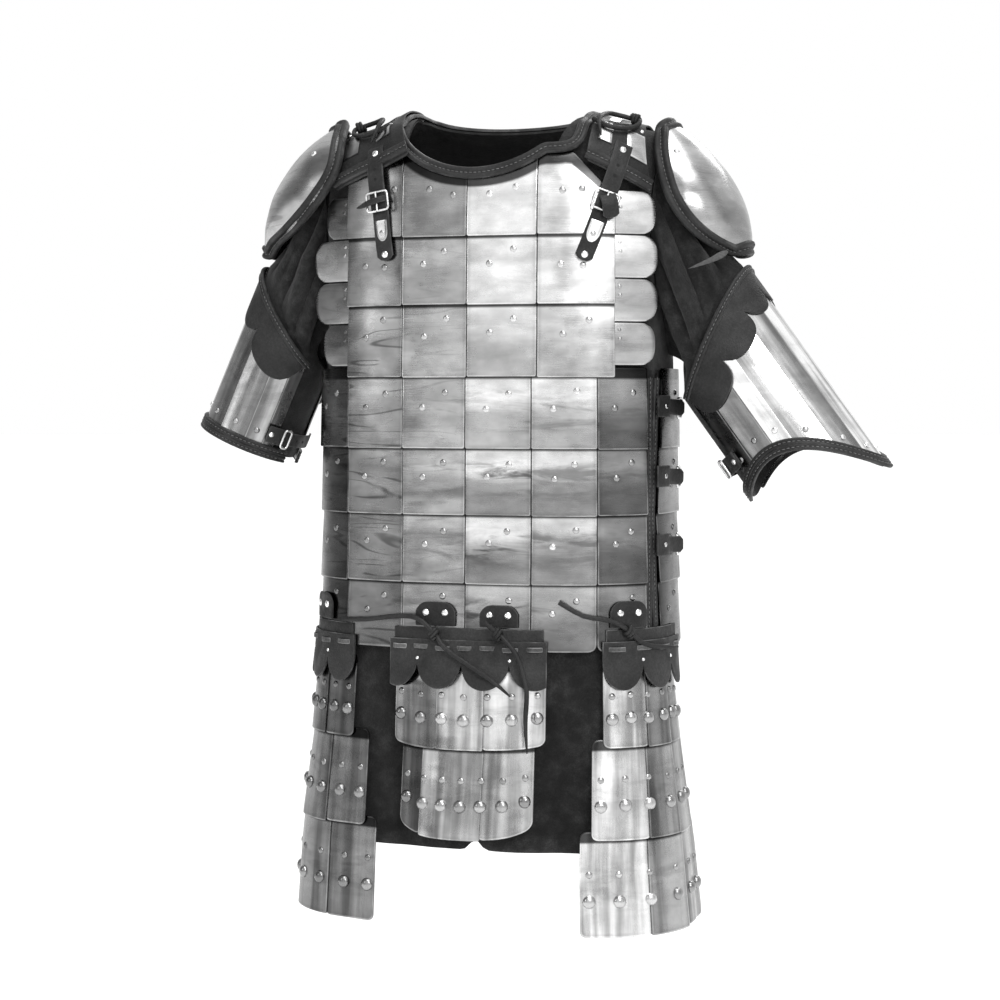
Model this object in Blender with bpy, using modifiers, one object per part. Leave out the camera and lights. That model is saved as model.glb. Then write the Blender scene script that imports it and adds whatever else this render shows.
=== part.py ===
"""Scale armour on its cloth tunic, hollow and open as it is worn.

Metres, +Z up, the front faces -Y and +X is the wearer's left. The origin is on top of the shoulders,
midway between them, where the wearer holds the armour up. Every panel, plate and strap is a wall on
one smooth torso form: it is placed by its distance round the body from the front or back centre, by
its height, and by its lift, which is how far it stands off the cloth's inner face.
"""

import functools
import math

import bmesh
import bpy
from mathutils import Vector

# ---------------------------------------------------------------- driving sizes

SEAM_GAP = 0.0003
CLOTH = 0.003
LEATHER = 0.002
STEEL = 0.0012

# The torso's sections: height, half width, depth of the front half, depth of the back half.
TORSO = (
    (0.000, 0.194, 0.117, 0.112),
    (-0.120, 0.196, 0.120, 0.116),
    (-0.300, 0.196, 0.121, 0.116),
    (-0.450, 0.194, 0.120, 0.112),
    (-0.600, 0.196, 0.122, 0.116),
    (-0.720, 0.201, 0.126, 0.122),
    (-0.830, 0.208, 0.131, 0.128),
)
SQUARENESS = 2.8
SHOULDER_ROUND = 0.085
SHOULDER_SLOPE = 0.26
NECK_HALF = 0.093
NECK_LEFT = 0.113
NECK_DROP = {"front": 0.072, "back": 0.012}
NECK_CURVE = 2.0
# The front neck's lowest point lies towards the wearer's left, and its left corner is square.
NECK_SHIFT = 0.010
NECK_CORNER = 0.050

ARMPIT = -0.270
ARMHOLE_INSET = 0.055
HEM = -0.825
HEM_NOTCH = 0.012

# Lifts of the layers over the cloth's inner face.
BACKING_LIFT = CLOTH + 0.0028
LAME_LIFT = BACKING_LIFT + LEATHER + 0.0004
PLATE_LIFT = LAME_LIFT + STEEL + 0.0005
PLATE_LEAN = 0.0020
OVER_PLATES = PLATE_LIFT + PLATE_LEAN + STEEL + 0.0005

PLATE_OVERLAP = 0.010
# The lower edges of the seven rows of plates, from the top one down.
ROW_FEET = (-0.1435, -0.2190, -0.2990, -0.3780, -0.4520, -0.5280, -0.6020)
FIRST_ROW_TOP = -0.040
SETTLE = 0.0070
# Edges of the plate rows, and of the leather under them, at the chest and then below the armpits.
PLATE_EDGES = {"front": ((-0.141, 0.159), (-0.208, 0.199)), "back": ((-0.190, 0.190), (-0.309, 0.309))}
BACKING_EDGES = {"front": ((-0.142, 0.160), (-0.209, 0.209)), "back": ((-0.191, 0.191), (-0.310, 0.310))}

# ---------------------------------------------------------------- materials

MATERIALS = {
    "wool": ((0.030, 0.030, 0.032), 0.95, 0.0),
    "leather": ((0.045, 0.045, 0.047), 0.60, 0.0),
    "steel": ((0.560, 0.565, 0.575), 0.28, 1.0),
}


def material(name):
    found = bpy.data.materials.get(name)
    if found:
        return found
    colour, roughness, metallic = MATERIALS[name]
    made = bpy.data.materials.new(name)
    made.use_nodes = True
    shader = made.node_tree.nodes["Principled BSDF"]
    shader.inputs["Base Color"].default_value = (*colour, 1.0)
    shader.inputs["Roughness"].default_value = roughness
    shader.inputs["Metallic"].default_value = metallic
    return made


# ---------------------------------------------------------------- the torso form


def lerp(a, b, share):
    return a + (b - a) * share


def torso_size(z):
    """Half width, front depth and back depth of the section at a height."""
    if z >= TORSO[0][0]:
        return TORSO[0][1:]
    for (high, *top), (low, *foot) in zip(TORSO, TORSO[1:]):
        if z >= low:
            share = (high - z) / (high - low)
            return tuple(lerp(a, b, share) for a, b in zip(top, foot))
    return TORSO[-1][1:]


@functools.lru_cache(maxsize=None)
def half_ring(z):
    """(distance from the front centre, x, y) round the +X half of the section."""
    half_width, front, back = torso_size(z)
    power = 2 / SQUARENESS
    steps = 240
    ring, distance = [], 0.0
    for i in range(steps + 1):
        angle = math.pi * i / steps
        c, s = math.cos(angle), math.sin(angle)
        depth = front if c > 0 else back
        x = half_width * abs(s) ** power
        y = -math.copysign(depth * abs(c) ** power, c)
        if ring:
            distance += math.dist((x, y), ring[-1][1:])
        ring.append((distance, x, y))
    return ring


def half_girth(z):
    return half_ring(round(z, 4))[-1][0]


def seam_distance(face, z):
    """From the centre of a face to the side seam, round the body."""
    ring = half_ring(round(z, 4))
    to_side = ring[len(ring) // 2][0]
    return to_side if face == "front" else ring[-1][0] - to_side


def section_point(face, s, z):
    """x and y at a distance s from the centre of a face. Seen from outside, s grows to the right."""
    ring = half_ring(round(z, 4))
    side = 1 if face == "front" else -1
    along = abs(s) if face == "front" else ring[-1][0] - abs(s)
    along = min(max(along, 0.0), ring[-1][0])
    low, high = 0, len(ring) - 1
    while high - low > 1:
        middle = (low + high) // 2
        if ring[middle][0] <= along:
            low = middle
        else:
            high = middle
    start, end = ring[low], ring[high]
    share = (along - start[0]) / max(end[0] - start[0], 1e-9)
    return math.copysign(1, s) * side * lerp(start[1], end[1], share), lerp(start[2], end[2], share)


def shoulder_height(x):
    return -SHOULDER_SLOPE * max(0.0, abs(x) - 0.09)


def path_height(x, z):
    """Turns a height into the length of path up the wall, which bends over the shoulder near its top."""
    start = shoulder_height(x) - SHOULDER_ROUND
    if z <= start:
        return z
    return start + SHOULDER_ROUND * math.asin(min(1.0, (z - start) / SHOULDER_ROUND))


def shoulder_top(x):
    """The length of path at which a wall reaches the top of the shoulder."""
    return shoulder_height(x) + SHOULDER_ROUND * (math.pi / 2 - 1)


def bare_skin(face, s, path):
    x, y = section_point(face, s, min(path, 0.0))
    start = shoulder_height(x) - SHOULDER_ROUND
    if path <= start:
        return Vector((x, y, path))
    bend = (path - start) / SHOULDER_ROUND
    return Vector((x, y * math.cos(bend), start + SHOULDER_ROUND * math.sin(bend)))


def skin_frame(face, s, path):
    """The point on the form, and the unit vectors along s, up the wall and outwards there."""
    step = 0.002
    along = bare_skin(face, s + step, path) - bare_skin(face, s - step, path)
    up = bare_skin(face, s, path + step) - bare_skin(face, s, path - step)
    out = along.cross(up).normalized()
    return bare_skin(face, s, path), along.normalized(), up.normalized(), out


def skin(face, s, path, lift):
    point, _, _, out = skin_frame(face, s, path)
    return point + out * lift


def at_height(face, s, z, lift):
    x, _ = section_point(face, s, min(z, 0.0))
    return skin(face, s, path_height(x, z), lift)


def spread(start, end, steps):
    return [lerp(start, end, i / steps) for i in range(steps + 1)]


def neck_half(side):
    """Half the neck opening's width, wider towards the wearer's left."""
    return NECK_LEFT if side > 0 else NECK_HALF


def neckline(face, x):
    """Height of the neck edge above a point across the body."""
    middle = NECK_SHIFT if face == "front" else 0.0
    half = neck_half(x - middle) - math.copysign(middle, x - middle)
    drop = NECK_DROP[face] * max(0.0, 1 - (abs(x - middle) / half) ** NECK_CURVE) ** (1 / NECK_CURVE)
    if face == "front" and x > middle:
        drop = max(drop, NECK_CORNER * max(0.0, 1 - (x / NECK_LEFT) ** 20) ** (1 / 20))
    return -drop


def settle(face, s, path):
    """How much closer to the form things lie over the shoulder than over the plates."""
    x, _ = section_point(face, s, 0.0)
    share = min(1.0, max(0.0, (path - path_height(x, FIRST_ROW_TOP + 0.008)) / 0.022))
    return SETTLE * share * share * (3 - 2 * share)


# ---------------------------------------------------------------- making solids


def new_object(name, mesh, finish):
    made = bpy.data.objects.new(name, mesh)
    mesh.materials.append(material(finish))
    COLLECTION.objects.link(made)
    return made


def shell(name, grid, thickness, finish):
    """A wall from its inner face's points: rows from foot to top, columns to the right seen from outside.

    A point may be None where the wall is narrower than its grid.
    """
    mesh = bpy.data.meshes.new(name)
    work = bmesh.new()
    points = [[p and work.verts.new(p) for p in row] for row in grid]
    for r in range(len(grid) - 1):
        for c in range(len(grid[0]) - 1):
            corners = (points[r][c], points[r][c + 1], points[r + 1][c + 1], points[r + 1][c])
            if all(corners):
                work.faces.new(corners)
    work.to_mesh(mesh)
    work.free()
    made = new_object(name, mesh, finish)
    solidify = made.modifiers.new("thickness", "SOLIDIFY")
    solidify.thickness = thickness
    solidify.offset = 1.0
    mesh.shade_smooth()
    return made


def loft(name, sections, finish, loop=False):
    """A solid through closed sections of equally many points, capped unless it closes on itself."""
    mesh = bpy.data.meshes.new(name)
    work = bmesh.new()
    rings = [[work.verts.new(p) for p in section] for section in sections]
    pairs = list(zip(rings, rings[1:]))
    if loop:
        pairs.append((rings[-1], rings[0]))
    for ring, following in pairs:
        count = len(ring)
        for i in range(count):
            j = (i + 1) % count
            work.faces.new((ring[i], ring[j], following[j], following[i]))
    if not loop:
        work.faces.new(rings[0])
        work.faces.new(list(reversed(rings[-1])))
    bmesh.ops.triangulate(work, faces=[f for f in work.faces if len(f.verts) > 4])
    bmesh.ops.recalc_face_normals(work, faces=work.faces)
    work.to_mesh(mesh)
    work.free()
    return new_object(name, mesh, finish)


def stepped_wall(name, inner, outer, finish):
    """A closed wall between two grids laid out as for a shell, where its two faces differ."""
    mesh = bpy.data.meshes.new(name)
    work = bmesh.new()
    under = [[p and work.verts.new(p) for p in row] for row in inner]
    over = [[p and work.verts.new(p) for p in row] for row in outer]
    partner = {a: b for low, high in zip(under, over) for a, b in zip(low, high) if a}
    for r in range(len(inner) - 1):
        for c in range(len(inner[0]) - 1):
            corners = (under[r][c], under[r][c + 1], under[r + 1][c + 1], under[r + 1][c])
            if all(corners):
                work.faces.new([partner[v] for v in corners])
                work.faces.new(corners[::-1])
    rim = [e for e in work.edges if len(e.link_faces) == 1 and e.verts[0] in partner]
    for edge in rim:
        a, b = edge.verts
        work.faces.new((a, b, partner[b], partner[a]))
    bmesh.ops.recalc_face_normals(work, faces=work.faces)
    work.to_mesh(mesh)
    work.free()
    return new_object(name, mesh, finish)


def wire(name, points, radius, finish, cyclic=False, sides=2):
    """A round wire or cord along points."""
    curve = bpy.data.curves.new(name, "CURVE")
    curve.dimensions = "3D"
    curve.bevel_depth = radius
    curve.bevel_resolution = sides
    curve.use_fill_caps = True
    spline = curve.splines.new("POLY")
    spline.points.add(len(points) - 1)
    for target, p in zip(spline.points, points):
        target.co = (*p, 1.0)
    spline.use_cyclic_u = cyclic
    return new_object(name, curve, finish)


# ---------------------------------------------------------------- the cloth tunic

# Columns as shares of the way from the centre to the neck's corner, then on to the side edge.
NECK_COLUMNS = (0.0, 0.30, 0.55, 0.76, 0.92, 1.0)
SHOULDER_COLUMNS = (0.18, 0.38, 0.58, 0.79, 1.0)
TUNIC_LEVELS = (HEM, -0.775, -0.715, -0.655, -0.600, -0.528, -0.452, -0.378, ARMPIT)
TUNIC_UPPER_STEPS = 8
SKIRT_FOLDS_FROM = -0.605
# Soft folds of the skirt: distance from the centre, how far they stand out at the hem, half width.
SKIRT_FOLDS = {
    "front": ((-0.150, 0.004, 0.026), (-0.070, -0.006, 0.022), (0.048, 0.003, 0.020), (0.108, -0.007, 0.024),
              (0.190, 0.004, 0.030)),
    "back": ((-0.175, -0.005, 0.028), (-0.090, 0.006, 0.026), (0.012, -0.006, 0.024), (0.090, 0.005, 0.022),
             (0.165, -0.004, 0.026)),
}


def half_columns(half):
    """A panel's columns from its centre to one side edge, as shares, with one at the neck's corner."""
    corner = next(distance for distance, x, y in half_ring(0.0) if x >= half) / seam_distance("front", 0.0)
    return [corner * c for c in NECK_COLUMNS] + [lerp(corner, 1.0, c) for c in SHOULDER_COLUMNS]


def tunic_columns(face):
    turn = 1 if face == "front" else -1
    return [-c for c in reversed(half_columns(neck_half(-turn))[1:])] + half_columns(neck_half(turn))


def skirt_fold(face, s, z):
    """How far the skirt stands out from the form because of its folds."""
    below = min(1.0, max(0.0, (SKIRT_FOLDS_FROM - z) / (SKIRT_FOLDS_FROM - HEM)))
    folds = (out * math.exp(-(((s - at) / half) ** 2)) for at, out, half in SKIRT_FOLDS[face])
    return below ** 1.3 * sum(folds)


def hem_height(face, x):
    notch = HEM_NOTCH * math.exp(-(((x - 0.012) / 0.008) ** 2)) if face == "front" else 0.0
    return HEM + notch


def tunic_top(face, share):
    """Path at the top of a column: the neck edge or the shoulder seam."""
    x, _ = section_point(face, share * seam_distance(face, 0.0), 0.0)
    if abs(x) < neck_half(x) - 0.0005:
        return path_height(x, neckline(face, x))
    return shoulder_top(x)


def armhole_edge(face, path, t):
    return seam_distance(face, min(path, 0.0)) - ARMHOLE_INSET * math.sin(math.pi * t)


def tunic_point(face, share, t, lift):
    """A point of the upper tunic: t runs from the armpit's level, 0, to the top edge, 1."""
    path = lerp(ARMPIT, tunic_top(face, share), t)
    point = skin(face, share * armhole_edge(face, path, t), path, lift)
    outwards = -1 if face == "front" else 1
    return point + Vector((0, outwards * SEAM_GAP / 2, 0))


def tunic_panel(face):
    shares = tunic_columns(face)
    outwards = Vector((0, SEAM_GAP / 2 * (-1 if face == "front" else 1), 0))
    grid = []
    for level in TUNIC_LEVELS[:-1]:
        row = []
        for share in shares:
            s = share * seam_distance(face, level)
            z = hem_height(face, section_point(face, s, level)[0]) if level == HEM else level
            row.append(skin(face, s, z, skirt_fold(face, s, z)) + outwards)
        grid.append(row)
    for t in spread(0.0, 1.0, TUNIC_UPPER_STEPS):
        grid.append([tunic_point(face, share, t, 0.0) for share in shares])
    shell(f"tunic_{face}", grid, CLOTH, "wool")


# ---------------------------------------------------------------- arms: sleeves and arm guards

# For each arm: the middle of the guard's hem, the arm's angle from hanging straight down, the half
# sizes of the sleeve's section outwards and forwards, where round the arm the guard starts and ends, its
# hem and its top edge over the hem's middle as (mean, once round, twice round), and its scallops.
ARMS = {
    "left": dict(side=1, hem=(0.3590, 0.0, -0.3967), angle=36.0, out=0.070, fore=0.058, wrap=(-146, 146),
                 foot=(-0.004, -0.028, -0.024), top=(0.176, 0.044), scallops=7),
    "right": dict(side=-1, hem=(-0.3160, 0.0, -0.3760), angle=24.0, out=0.0565, fore=0.053, wrap=(-168, 138),
                  foot=(-0.001, -0.001, 0.000), top=(0.157, 0.045), scallops=6),
}
SLEEVE_PAST_GUARD = 0.006
SLEEVE_AROUND = 24
GUARD_LIFT = 0.0012
GUARD_BAND = 0.015
SCALLOP_DEPTH = 0.048
# Folds along a sleeve between armhole and guard: way round, how far they stand out, half width in degrees.
SLEEVE_FOLDS = ((20, 0.004, 16), (52, -0.005, 12), (80, 0.004, 13), (112, -0.005, 14), (150, 0.003, 16),
                (205, 0.004, 16), (238, -0.005, 13), (272, 0.004, 13), (305, -0.004, 14))


def arm_axes(arm):
    """Down the arm, and outwards and forwards across it."""
    angle = math.radians(arm["angle"])
    down = Vector((arm["side"] * math.sin(angle), 0, -math.cos(angle)))
    outwards = Vector((arm["side"] * math.cos(angle), 0, math.sin(angle)))
    return down, outwards, Vector((0, -1, 0))


def arm_point(arm, turn, up, lift):
    """A point round the arm: turn is 0 outwards and 90 at the front; up is above the hem's middle."""
    down, outwards, forwards = arm_axes(arm)
    c, s = math.cos(math.radians(turn)), math.sin(math.radians(turn))
    out, fore = arm["out"] + lift, arm["fore"] + lift
    return Vector(arm["hem"]) - down * up + outwards * out * c + forwards * fore * s


def guard_foot(arm, turn):
    mean, once, twice = arm["foot"]
    return mean + once * math.cos(math.radians(turn)) + twice * math.cos(math.radians(2 * turn))


def guard_top(arm, turn):
    mean, once = arm["top"]
    return mean + once * math.cos(math.radians(turn))


def armhole_ring(side):
    """Round the armhole from the shoulder down the front, and up the back, just outside the tunic's edge."""
    ts = spread(1.0, 0.0, SLEEVE_AROUND // 2)
    front = [tunic_point("front", side, t, CLOTH + 0.0006) for t in ts]
    back = [tunic_point("back", -side, t, CLOTH + 0.0006) for t in reversed(ts)]
    top = (front[0] + back[-1]) / 2
    foot = (front[-1] + back[0]) / 2
    return [top] + front[1:-1] + [foot] + back[1:-1]


def sleeve_fold(turn):
    return sum(out * math.exp(-(((turn - at) / half) ** 2)) for at, out, half in SLEEVE_FOLDS)


def sleeve(name, arm):
    side = arm["side"]
    start = [p + Vector((side * 0.0008, 0, 0)) for p in armhole_ring(side)]
    rows = []
    for i in range(SLEEVE_AROUND):
        turn = 360 * i / SLEEVE_AROUND
        top, foot = guard_top(arm, turn) + 0.006, guard_foot(arm, turn) + SLEEVE_PAST_GUARD
        enter = arm_point(arm, turn, top, -CLOTH)
        middle = Vector(arm["hem"]) - arm_axes(arm)[0] * top
        away = (enter - middle).normalized()
        puff = 0.006 - 0.022 * math.cos(math.radians(turn)) ** 2
        column = []
        for share in spread(0.0, 1.0, 5):
            swell = math.sin(math.pi * share) * (puff + sleeve_fold(turn))
            column.append(start[i].lerp(enter, share) + away * swell)
        for share in spread(0.0, 1.0, 3)[1:]:
            column.append(arm_point(arm, turn, lerp(top, foot, share), -CLOTH))
        rows.append(column)
    mesh = bpy.data.meshes.new(f"sleeve_{name}")
    work = bmesh.new()
    points = [[work.verts.new(p) for p in column] for column in rows]
    for i in range(SLEEVE_AROUND):
        j = (i + 1) % SLEEVE_AROUND
        for r in range(len(rows[0]) - 1):
            corners = (points[i][r], points[i][r + 1], points[j][r + 1], points[j][r])
            work.faces.new(corners if side < 0 else tuple(reversed(corners)))
    work.to_mesh(mesh)
    work.free()
    made = new_object(f"sleeve_{name}", mesh, "wool")
    solidify = made.modifiers.new("thickness", "SOLIDIFY")
    solidify.thickness = CLOTH
    solidify.offset = -1.0
    mesh.shade_smooth()


def arm_wall(name, arm, turns, foot, top, steps, lift, thickness, finish):
    """A wall round part of the arm between two edges given as functions of the way round."""
    order = turns if arm["side"] < 0 else list(reversed(turns))
    grid = []
    for share in spread(0.0, 1.0, steps):
        grid.append([arm_point(arm, turn, lerp(foot(turn), top(turn), share), lift) for turn in order])
    return shell(name, grid, thickness, finish)


def arm_guard(name, arm):
    start, end = arm["wrap"]
    count = arm["scallops"]
    turns = spread(start, end, 18)

    def band_top(turn):
        return guard_foot(arm, turn) + GUARD_BAND

    def scallop_foot(turn):
        lobe = abs(math.sin(math.pi * count * (turn - start) / (end - start)))
        return guard_top(arm, turn) - SCALLOP_DEPTH * (0.45 + 0.55 * lobe ** 0.6)

    arm_wall(f"guard_splints_{name}", arm, turns, lambda turn: guard_foot(arm, turn) + 0.003,
             lambda turn: guard_top(arm, turn) - 0.003, 3, GUARD_LIFT, STEEL, "steel")
    over = GUARD_LIFT + STEEL + 0.0005
    arm_wall(f"guard_hem_{name}", arm, turns, lambda turn: guard_foot(arm, turn), band_top, 1, over,
             LEATHER, "leather")
    fine = spread(start, end, 8 * count)
    arm_wall(f"guard_scallops_{name}", arm, fine, scallop_foot, lambda turn: guard_top(arm, turn), 1, over,
             LEATHER, "leather")
    over += LEATHER + 0.0005
    strap = spread(end - 14, 374 + start, 6)

    def strap_foot(turn):
        return max(guard_foot(arm, end - 14), guard_foot(arm, 180)) + 0.022

    arm_wall(f"guard_strap_{name}", arm, strap, strap_foot, lambda turn: strap_foot(turn) + 0.016, 1, over,
             LEATHER, "leather")


# ---------------------------------------------------------------- leather backing and rows of plates

# The backing and the rows over it share their columns, so that they lie evenly on each other.
FIRST_ROW_STEPS = 4
COLUMN_COUNTS = {"front": (14, 3), "back": (18, 6)}


def row_columns(face, wide, edges=PLATE_EDGES):
    """Distances of the columns. In a narrow row the outer ones are None."""
    (chest_left, chest_right), (side_left, side_right) = edges[face]
    inner, outer = COLUMN_COUNTS[face]
    left, right = [None] * outer, [None] * outer
    if wide:
        left, right = spread(side_left, chest_left, outer)[:-1], spread(chest_right, side_right, outer)[1:]
    return left + spread(chest_left, chest_right, inner) + right


CUT_FROM, CUT_TOP, CUT_SLOPE = 0.112, -0.055, 0.95


def top_edge(face, margin):
    """The height of a panel's top edge at s: under the neck edge, level outside it, and cut away under
    the wearer's left yoke."""

    def height(s):
        x, _ = section_point(face, s, -0.05)
        cut = CUT_TOP - CUT_SLOPE * (s - CUT_FROM) if face == "front" and s > CUT_FROM else 0.0
        return min(FIRST_ROW_TOP, neckline(face, x) - margin, cut)

    return height


def level_points(face, columns, z, lift):
    """Points along a level. The height may be a function of s."""
    heights = [z(s) if callable(z) and s is not None else z for s in columns]
    return [None if s is None else at_height(face, s, h, lift) for s, h in zip(columns, heights)]


def backing(face):
    """Wide below the armpit and narrow above it."""
    rise = top_edge(face, 0.006)
    grid = []
    for z in (ROW_FEET[6] + 0.004, ROW_FEET[5], ROW_FEET[4], ROW_FEET[3], ROW_FEET[2] + 0.008):
        grid.append(level_points(face, row_columns(face, True, BACKING_EDGES), z, BACKING_LIFT))
    narrow = row_columns(face, False, BACKING_EDGES)
    grid.append(level_points(face, narrow, ROW_FEET[1], BACKING_LIFT))
    for share_up in spread(0.0, 1.0, FIRST_ROW_STEPS):
        grid.append(level_points(face, narrow, lambda s: lerp(ROW_FEET[0], rise(s), share_up), BACKING_LIFT))
    shell(f"backing_{face}", grid, LEATHER, "leather")


def row_top(n):
    return FIRST_ROW_TOP if n == 0 else ROW_FEET[n - 1] + PLATE_OVERLAP


def plate_lift(z, top, foot):
    """Each row leans outwards towards its foot, which covers the top of the row below."""
    return PLATE_LIFT + PLATE_LEAN * (top - z) / (top - foot)


def front_row(n):
    columns = [s for s in row_columns("front", n > 2) if s is not None]
    foot, top = ROW_FEET[n], row_top(n)
    rise = top_edge("front", 0.007) if n == 0 else lambda s: top
    grid = []
    for share in spread(0.0, 1.0, FIRST_ROW_STEPS if n == 0 else 2):
        row = []
        for s in columns:
            z = lerp(foot, rise(s), share)
            row.append(at_height("front", s, z, plate_lift(z, top, foot)))
        grid.append(row)
    shell(f"front_row_{n + 1}", grid, STEEL, "steel")


def back_plates():
    """The back's seven rows as one wall with a level inner face and an outer face that steps at each row."""
    inner, outer = [], []
    for n in reversed(range(7)):
        foot, top = ROW_FEET[n], row_top(n) - (PLATE_OVERLAP if n else 0.0)
        rise = top_edge("back", 0.007) if n == 0 else lambda s: top
        columns = row_columns("back", n > 2)
        for share in (spread(0.006, 1.0, FIRST_ROW_STEPS) if n == 0 else (0.006, 1.0)):
            over = PLATE_LIFT + STEEL + PLATE_LEAN * (1 - share)
            height = lambda s: lerp(foot, rise(s), share)
            inner.append(level_points("back", columns, height, LAME_LIFT + 0.0005))
            outer.append(level_points("back", columns, height, over))
    stepped_wall("back_plates", inner, outer, "steel")


# ---------------------------------------------------------------- round-ended plates beside the chest

PETAL_HEIGHT = 0.0478
PETAL_REACH = {1: 0.052, -1: 0.058}
PETAL_TOP = -0.0962
PETAL_UNDER = 0.008
PETALS = 4


def petals(side):
    """Four round-ended plates in one strip under the rows' edge. Beyond the edge they stand off the body."""
    edge = PLATE_EDGES["front"][0][1 if side > 0 else 0] - side * PETAL_UNDER
    root = edge - side * 0.014
    name = "left" if side > 0 else "right"
    mesh_rows = []
    for n in range(PETALS):
        for share in spread(0.0, 1.0, 6):
            if n and share == 0.0:
                continue
            z = PETAL_TOP - PETAL_HEIGHT * (n + share)
            bulge = (1 - abs(2 * share - 1) ** 2.3) ** (1 / 2.3)
            reach = (PETAL_REACH[side] + PETAL_UNDER) * (0.56 + 0.44 * bulge)
            reach *= 0.80 if n == PETALS - 1 else 1.0
            base, along, _, out = skin_frame("front", edge, z)
            turned = along * side
            row = [skin("front", root, z, LAME_LIFT), skin("front", edge, z, LAME_LIFT)]
            for part in (0.35, 0.70, 1.0):
                away = reach * part
                row.append(base + out * (LAME_LIFT - away * away * 2.2) + turned * away)
            mesh_rows.append(row if side > 0 else row[::-1])
    shell(f"chest_side_plates_{name}", mesh_rows[::-1], STEEL, "steel")


# ---------------------------------------------------------------- bands, straps and cords


def ribbon(name, centres, normals, widths, thickness, finish, lift=0.0, loop=False):
    """A flat band along points: it lies square to the normals and stands on the points."""
    count = len(centres)
    sections = []
    for i, (centre, normal) in enumerate(zip(centres, normals)):
        before = centres[(i - 1) % count] if loop else centres[max(i - 1, 0)]
        after = centres[(i + 1) % count] if loop else centres[min(i + 1, count - 1)]
        across = (after - before).normalized().cross(normal).normalized() * widths[i] / 2
        base, over = normal * lift, normal * (lift + thickness)
        sections.append([centre - across + base, centre + across + base,
                         centre + across + over, centre - across + over])
    return loft(name, sections, finish, loop=loop)


def on_form(points, face="front"):
    """Points and outward normals on the bare form for (s, z) pairs."""
    centres, normals = [], []
    for s, z in points:
        x, _ = section_point(face, s, min(z, 0.0))
        base, _, _, out = skin_frame(face, s, path_height(x, z))
        centres.append(base)
        normals.append(out)
    return centres, normals


def neck_edge(margin, lift, steps):
    """Round the neck from the wearer's right: points and normals a margin outside the neck edge."""
    centres, normals = [], []
    for face in ("front", "back"):
        turn = 1 if face == "front" else -1
        edge = []
        for u in spread(-1.0, 1.0, 300):
            s = neck_half(u * turn) * math.sin(math.pi / 2 * u)
            top = shoulder_top(s * turn) - 0.0004
            edge.append(Vector((s, min(path_height(s * turn, neckline(face, s * turn)), top), 0)))
        lengths = [0.0]
        for start, end in zip(edge, edge[1:]):
            lengths.append(lengths[-1] + (end - start).length)
        line, k = [], 0
        for distance in spread(0.0, lengths[-1], steps[face]):
            while k < len(edge) - 2 and lengths[k + 1] < distance:
                k += 1
            line.append(edge[k].lerp(edge[k + 1], (distance - lengths[k]) / (lengths[k + 1] - lengths[k])))
        for _ in range(2):
            line[1:-1] = [(a + b * 2 + c) / 4 for a, b, c in zip(line, line[1:], line[2:])]
        for i, p in enumerate(line[:-1]):
            way = (line[i + 1] - line[max(i - 1, 0)]).normalized()
            if i == 0:
                way = Vector((0, -1, 0))
            s, path = p.x + way.y * margin, p.y - way.x * margin
            base, _, _, out = skin_frame(face, s, path)
            centres.append(base + out * (lift - settle(face, s, path)))
            normals.append(out)
    return centres, normals


NECK_BAND = 0.011


def neck_binding():
    lift = PLATE_LIFT + PLATE_LEAN + STEEL - 0.001
    centres, normals = neck_edge(NECK_BAND / 2 - 0.001, lift, {"front": 28, "back": 14})
    ribbon("neck_binding", centres, normals, [NECK_BAND] * len(centres), LEATHER, "leather", loop=True)


# ---------------------------------------------------------------- shoulders

YOKE_LIFT = OVER_PLATES - 0.0006
# A yoke's inner and outer edges at the shoulder's top, and the inner and outer ends, as distance from
# the centre and height, of its front foot on either side and of its back foot.
YOKE_TOP = {1: (0.128, 0.186), -1: (0.109, 0.172)}
YOKE_FEET = {1: ((0.128, -0.068), (0.200, -0.099)), -1: ((0.076, -0.069), (0.160, -0.090))}
YOKE_BACK = {1: ((0.128, -0.052), (0.186, -0.070)), -1: ((0.109, -0.052), (0.172, -0.070))}
SPAULDER_STEEL = 0.0015
SPAULDER_BINDING = 0.0042
# Each shoulder cap from its top to its tip: middle line (x, z), front edge and back edge (x, y, z).
SPAULDERS = {
    1: (((0.2035, -0.0120), (0.1960, -0.0240, -0.0200), (0.1960, 0.0240, -0.0200)),
        ((0.2340, -0.0360), (0.1975, -0.0440, -0.0430), (0.2010, 0.0440, -0.0430)),
        ((0.2580, -0.0610), (0.2050, -0.0610, -0.0700), (0.2080, 0.0610, -0.0700)),
        ((0.2765, -0.0880), (0.2180, -0.0720, -0.1030), (0.2200, 0.0720, -0.1030)),
        ((0.2875, -0.1150), (0.2360, -0.0680, -0.1300), (0.2370, 0.0680, -0.1300)),
        ((0.2925, -0.1400), (0.2575, -0.0480, -0.1490), (0.2580, 0.0480, -0.1490)),
        ((0.2925, -0.1570), (0.2785, -0.0220, -0.1590), (0.2785, 0.0220, -0.1590))),
    -1: (((0.1960, -0.0080), (0.1770, -0.0390, -0.0040), (0.1915, 0.0240, -0.0200)),
         ((0.2280, -0.0325), (0.1640, -0.0880, -0.0330), (0.2000, 0.0440, -0.0435)),
         ((0.2530, -0.0590), (0.1620, -0.1080, -0.0650), (0.2045, 0.0610, -0.0700)),
         ((0.2710, -0.0870), (0.1860, -0.1070, -0.0990), (0.2150, 0.0720, -0.1030)),
         ((0.2810, -0.1140), (0.2240, -0.0830, -0.1270), (0.2320, 0.0680, -0.1290)),
         ((0.2870, -0.1350), (0.2560, -0.0480, -0.1380), (0.2550, 0.0455, -0.1390)),
         ((0.2895, -0.1500), (0.2775, -0.0235, -0.1525), (0.2770, 0.0235, -0.1530))),
}


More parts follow.
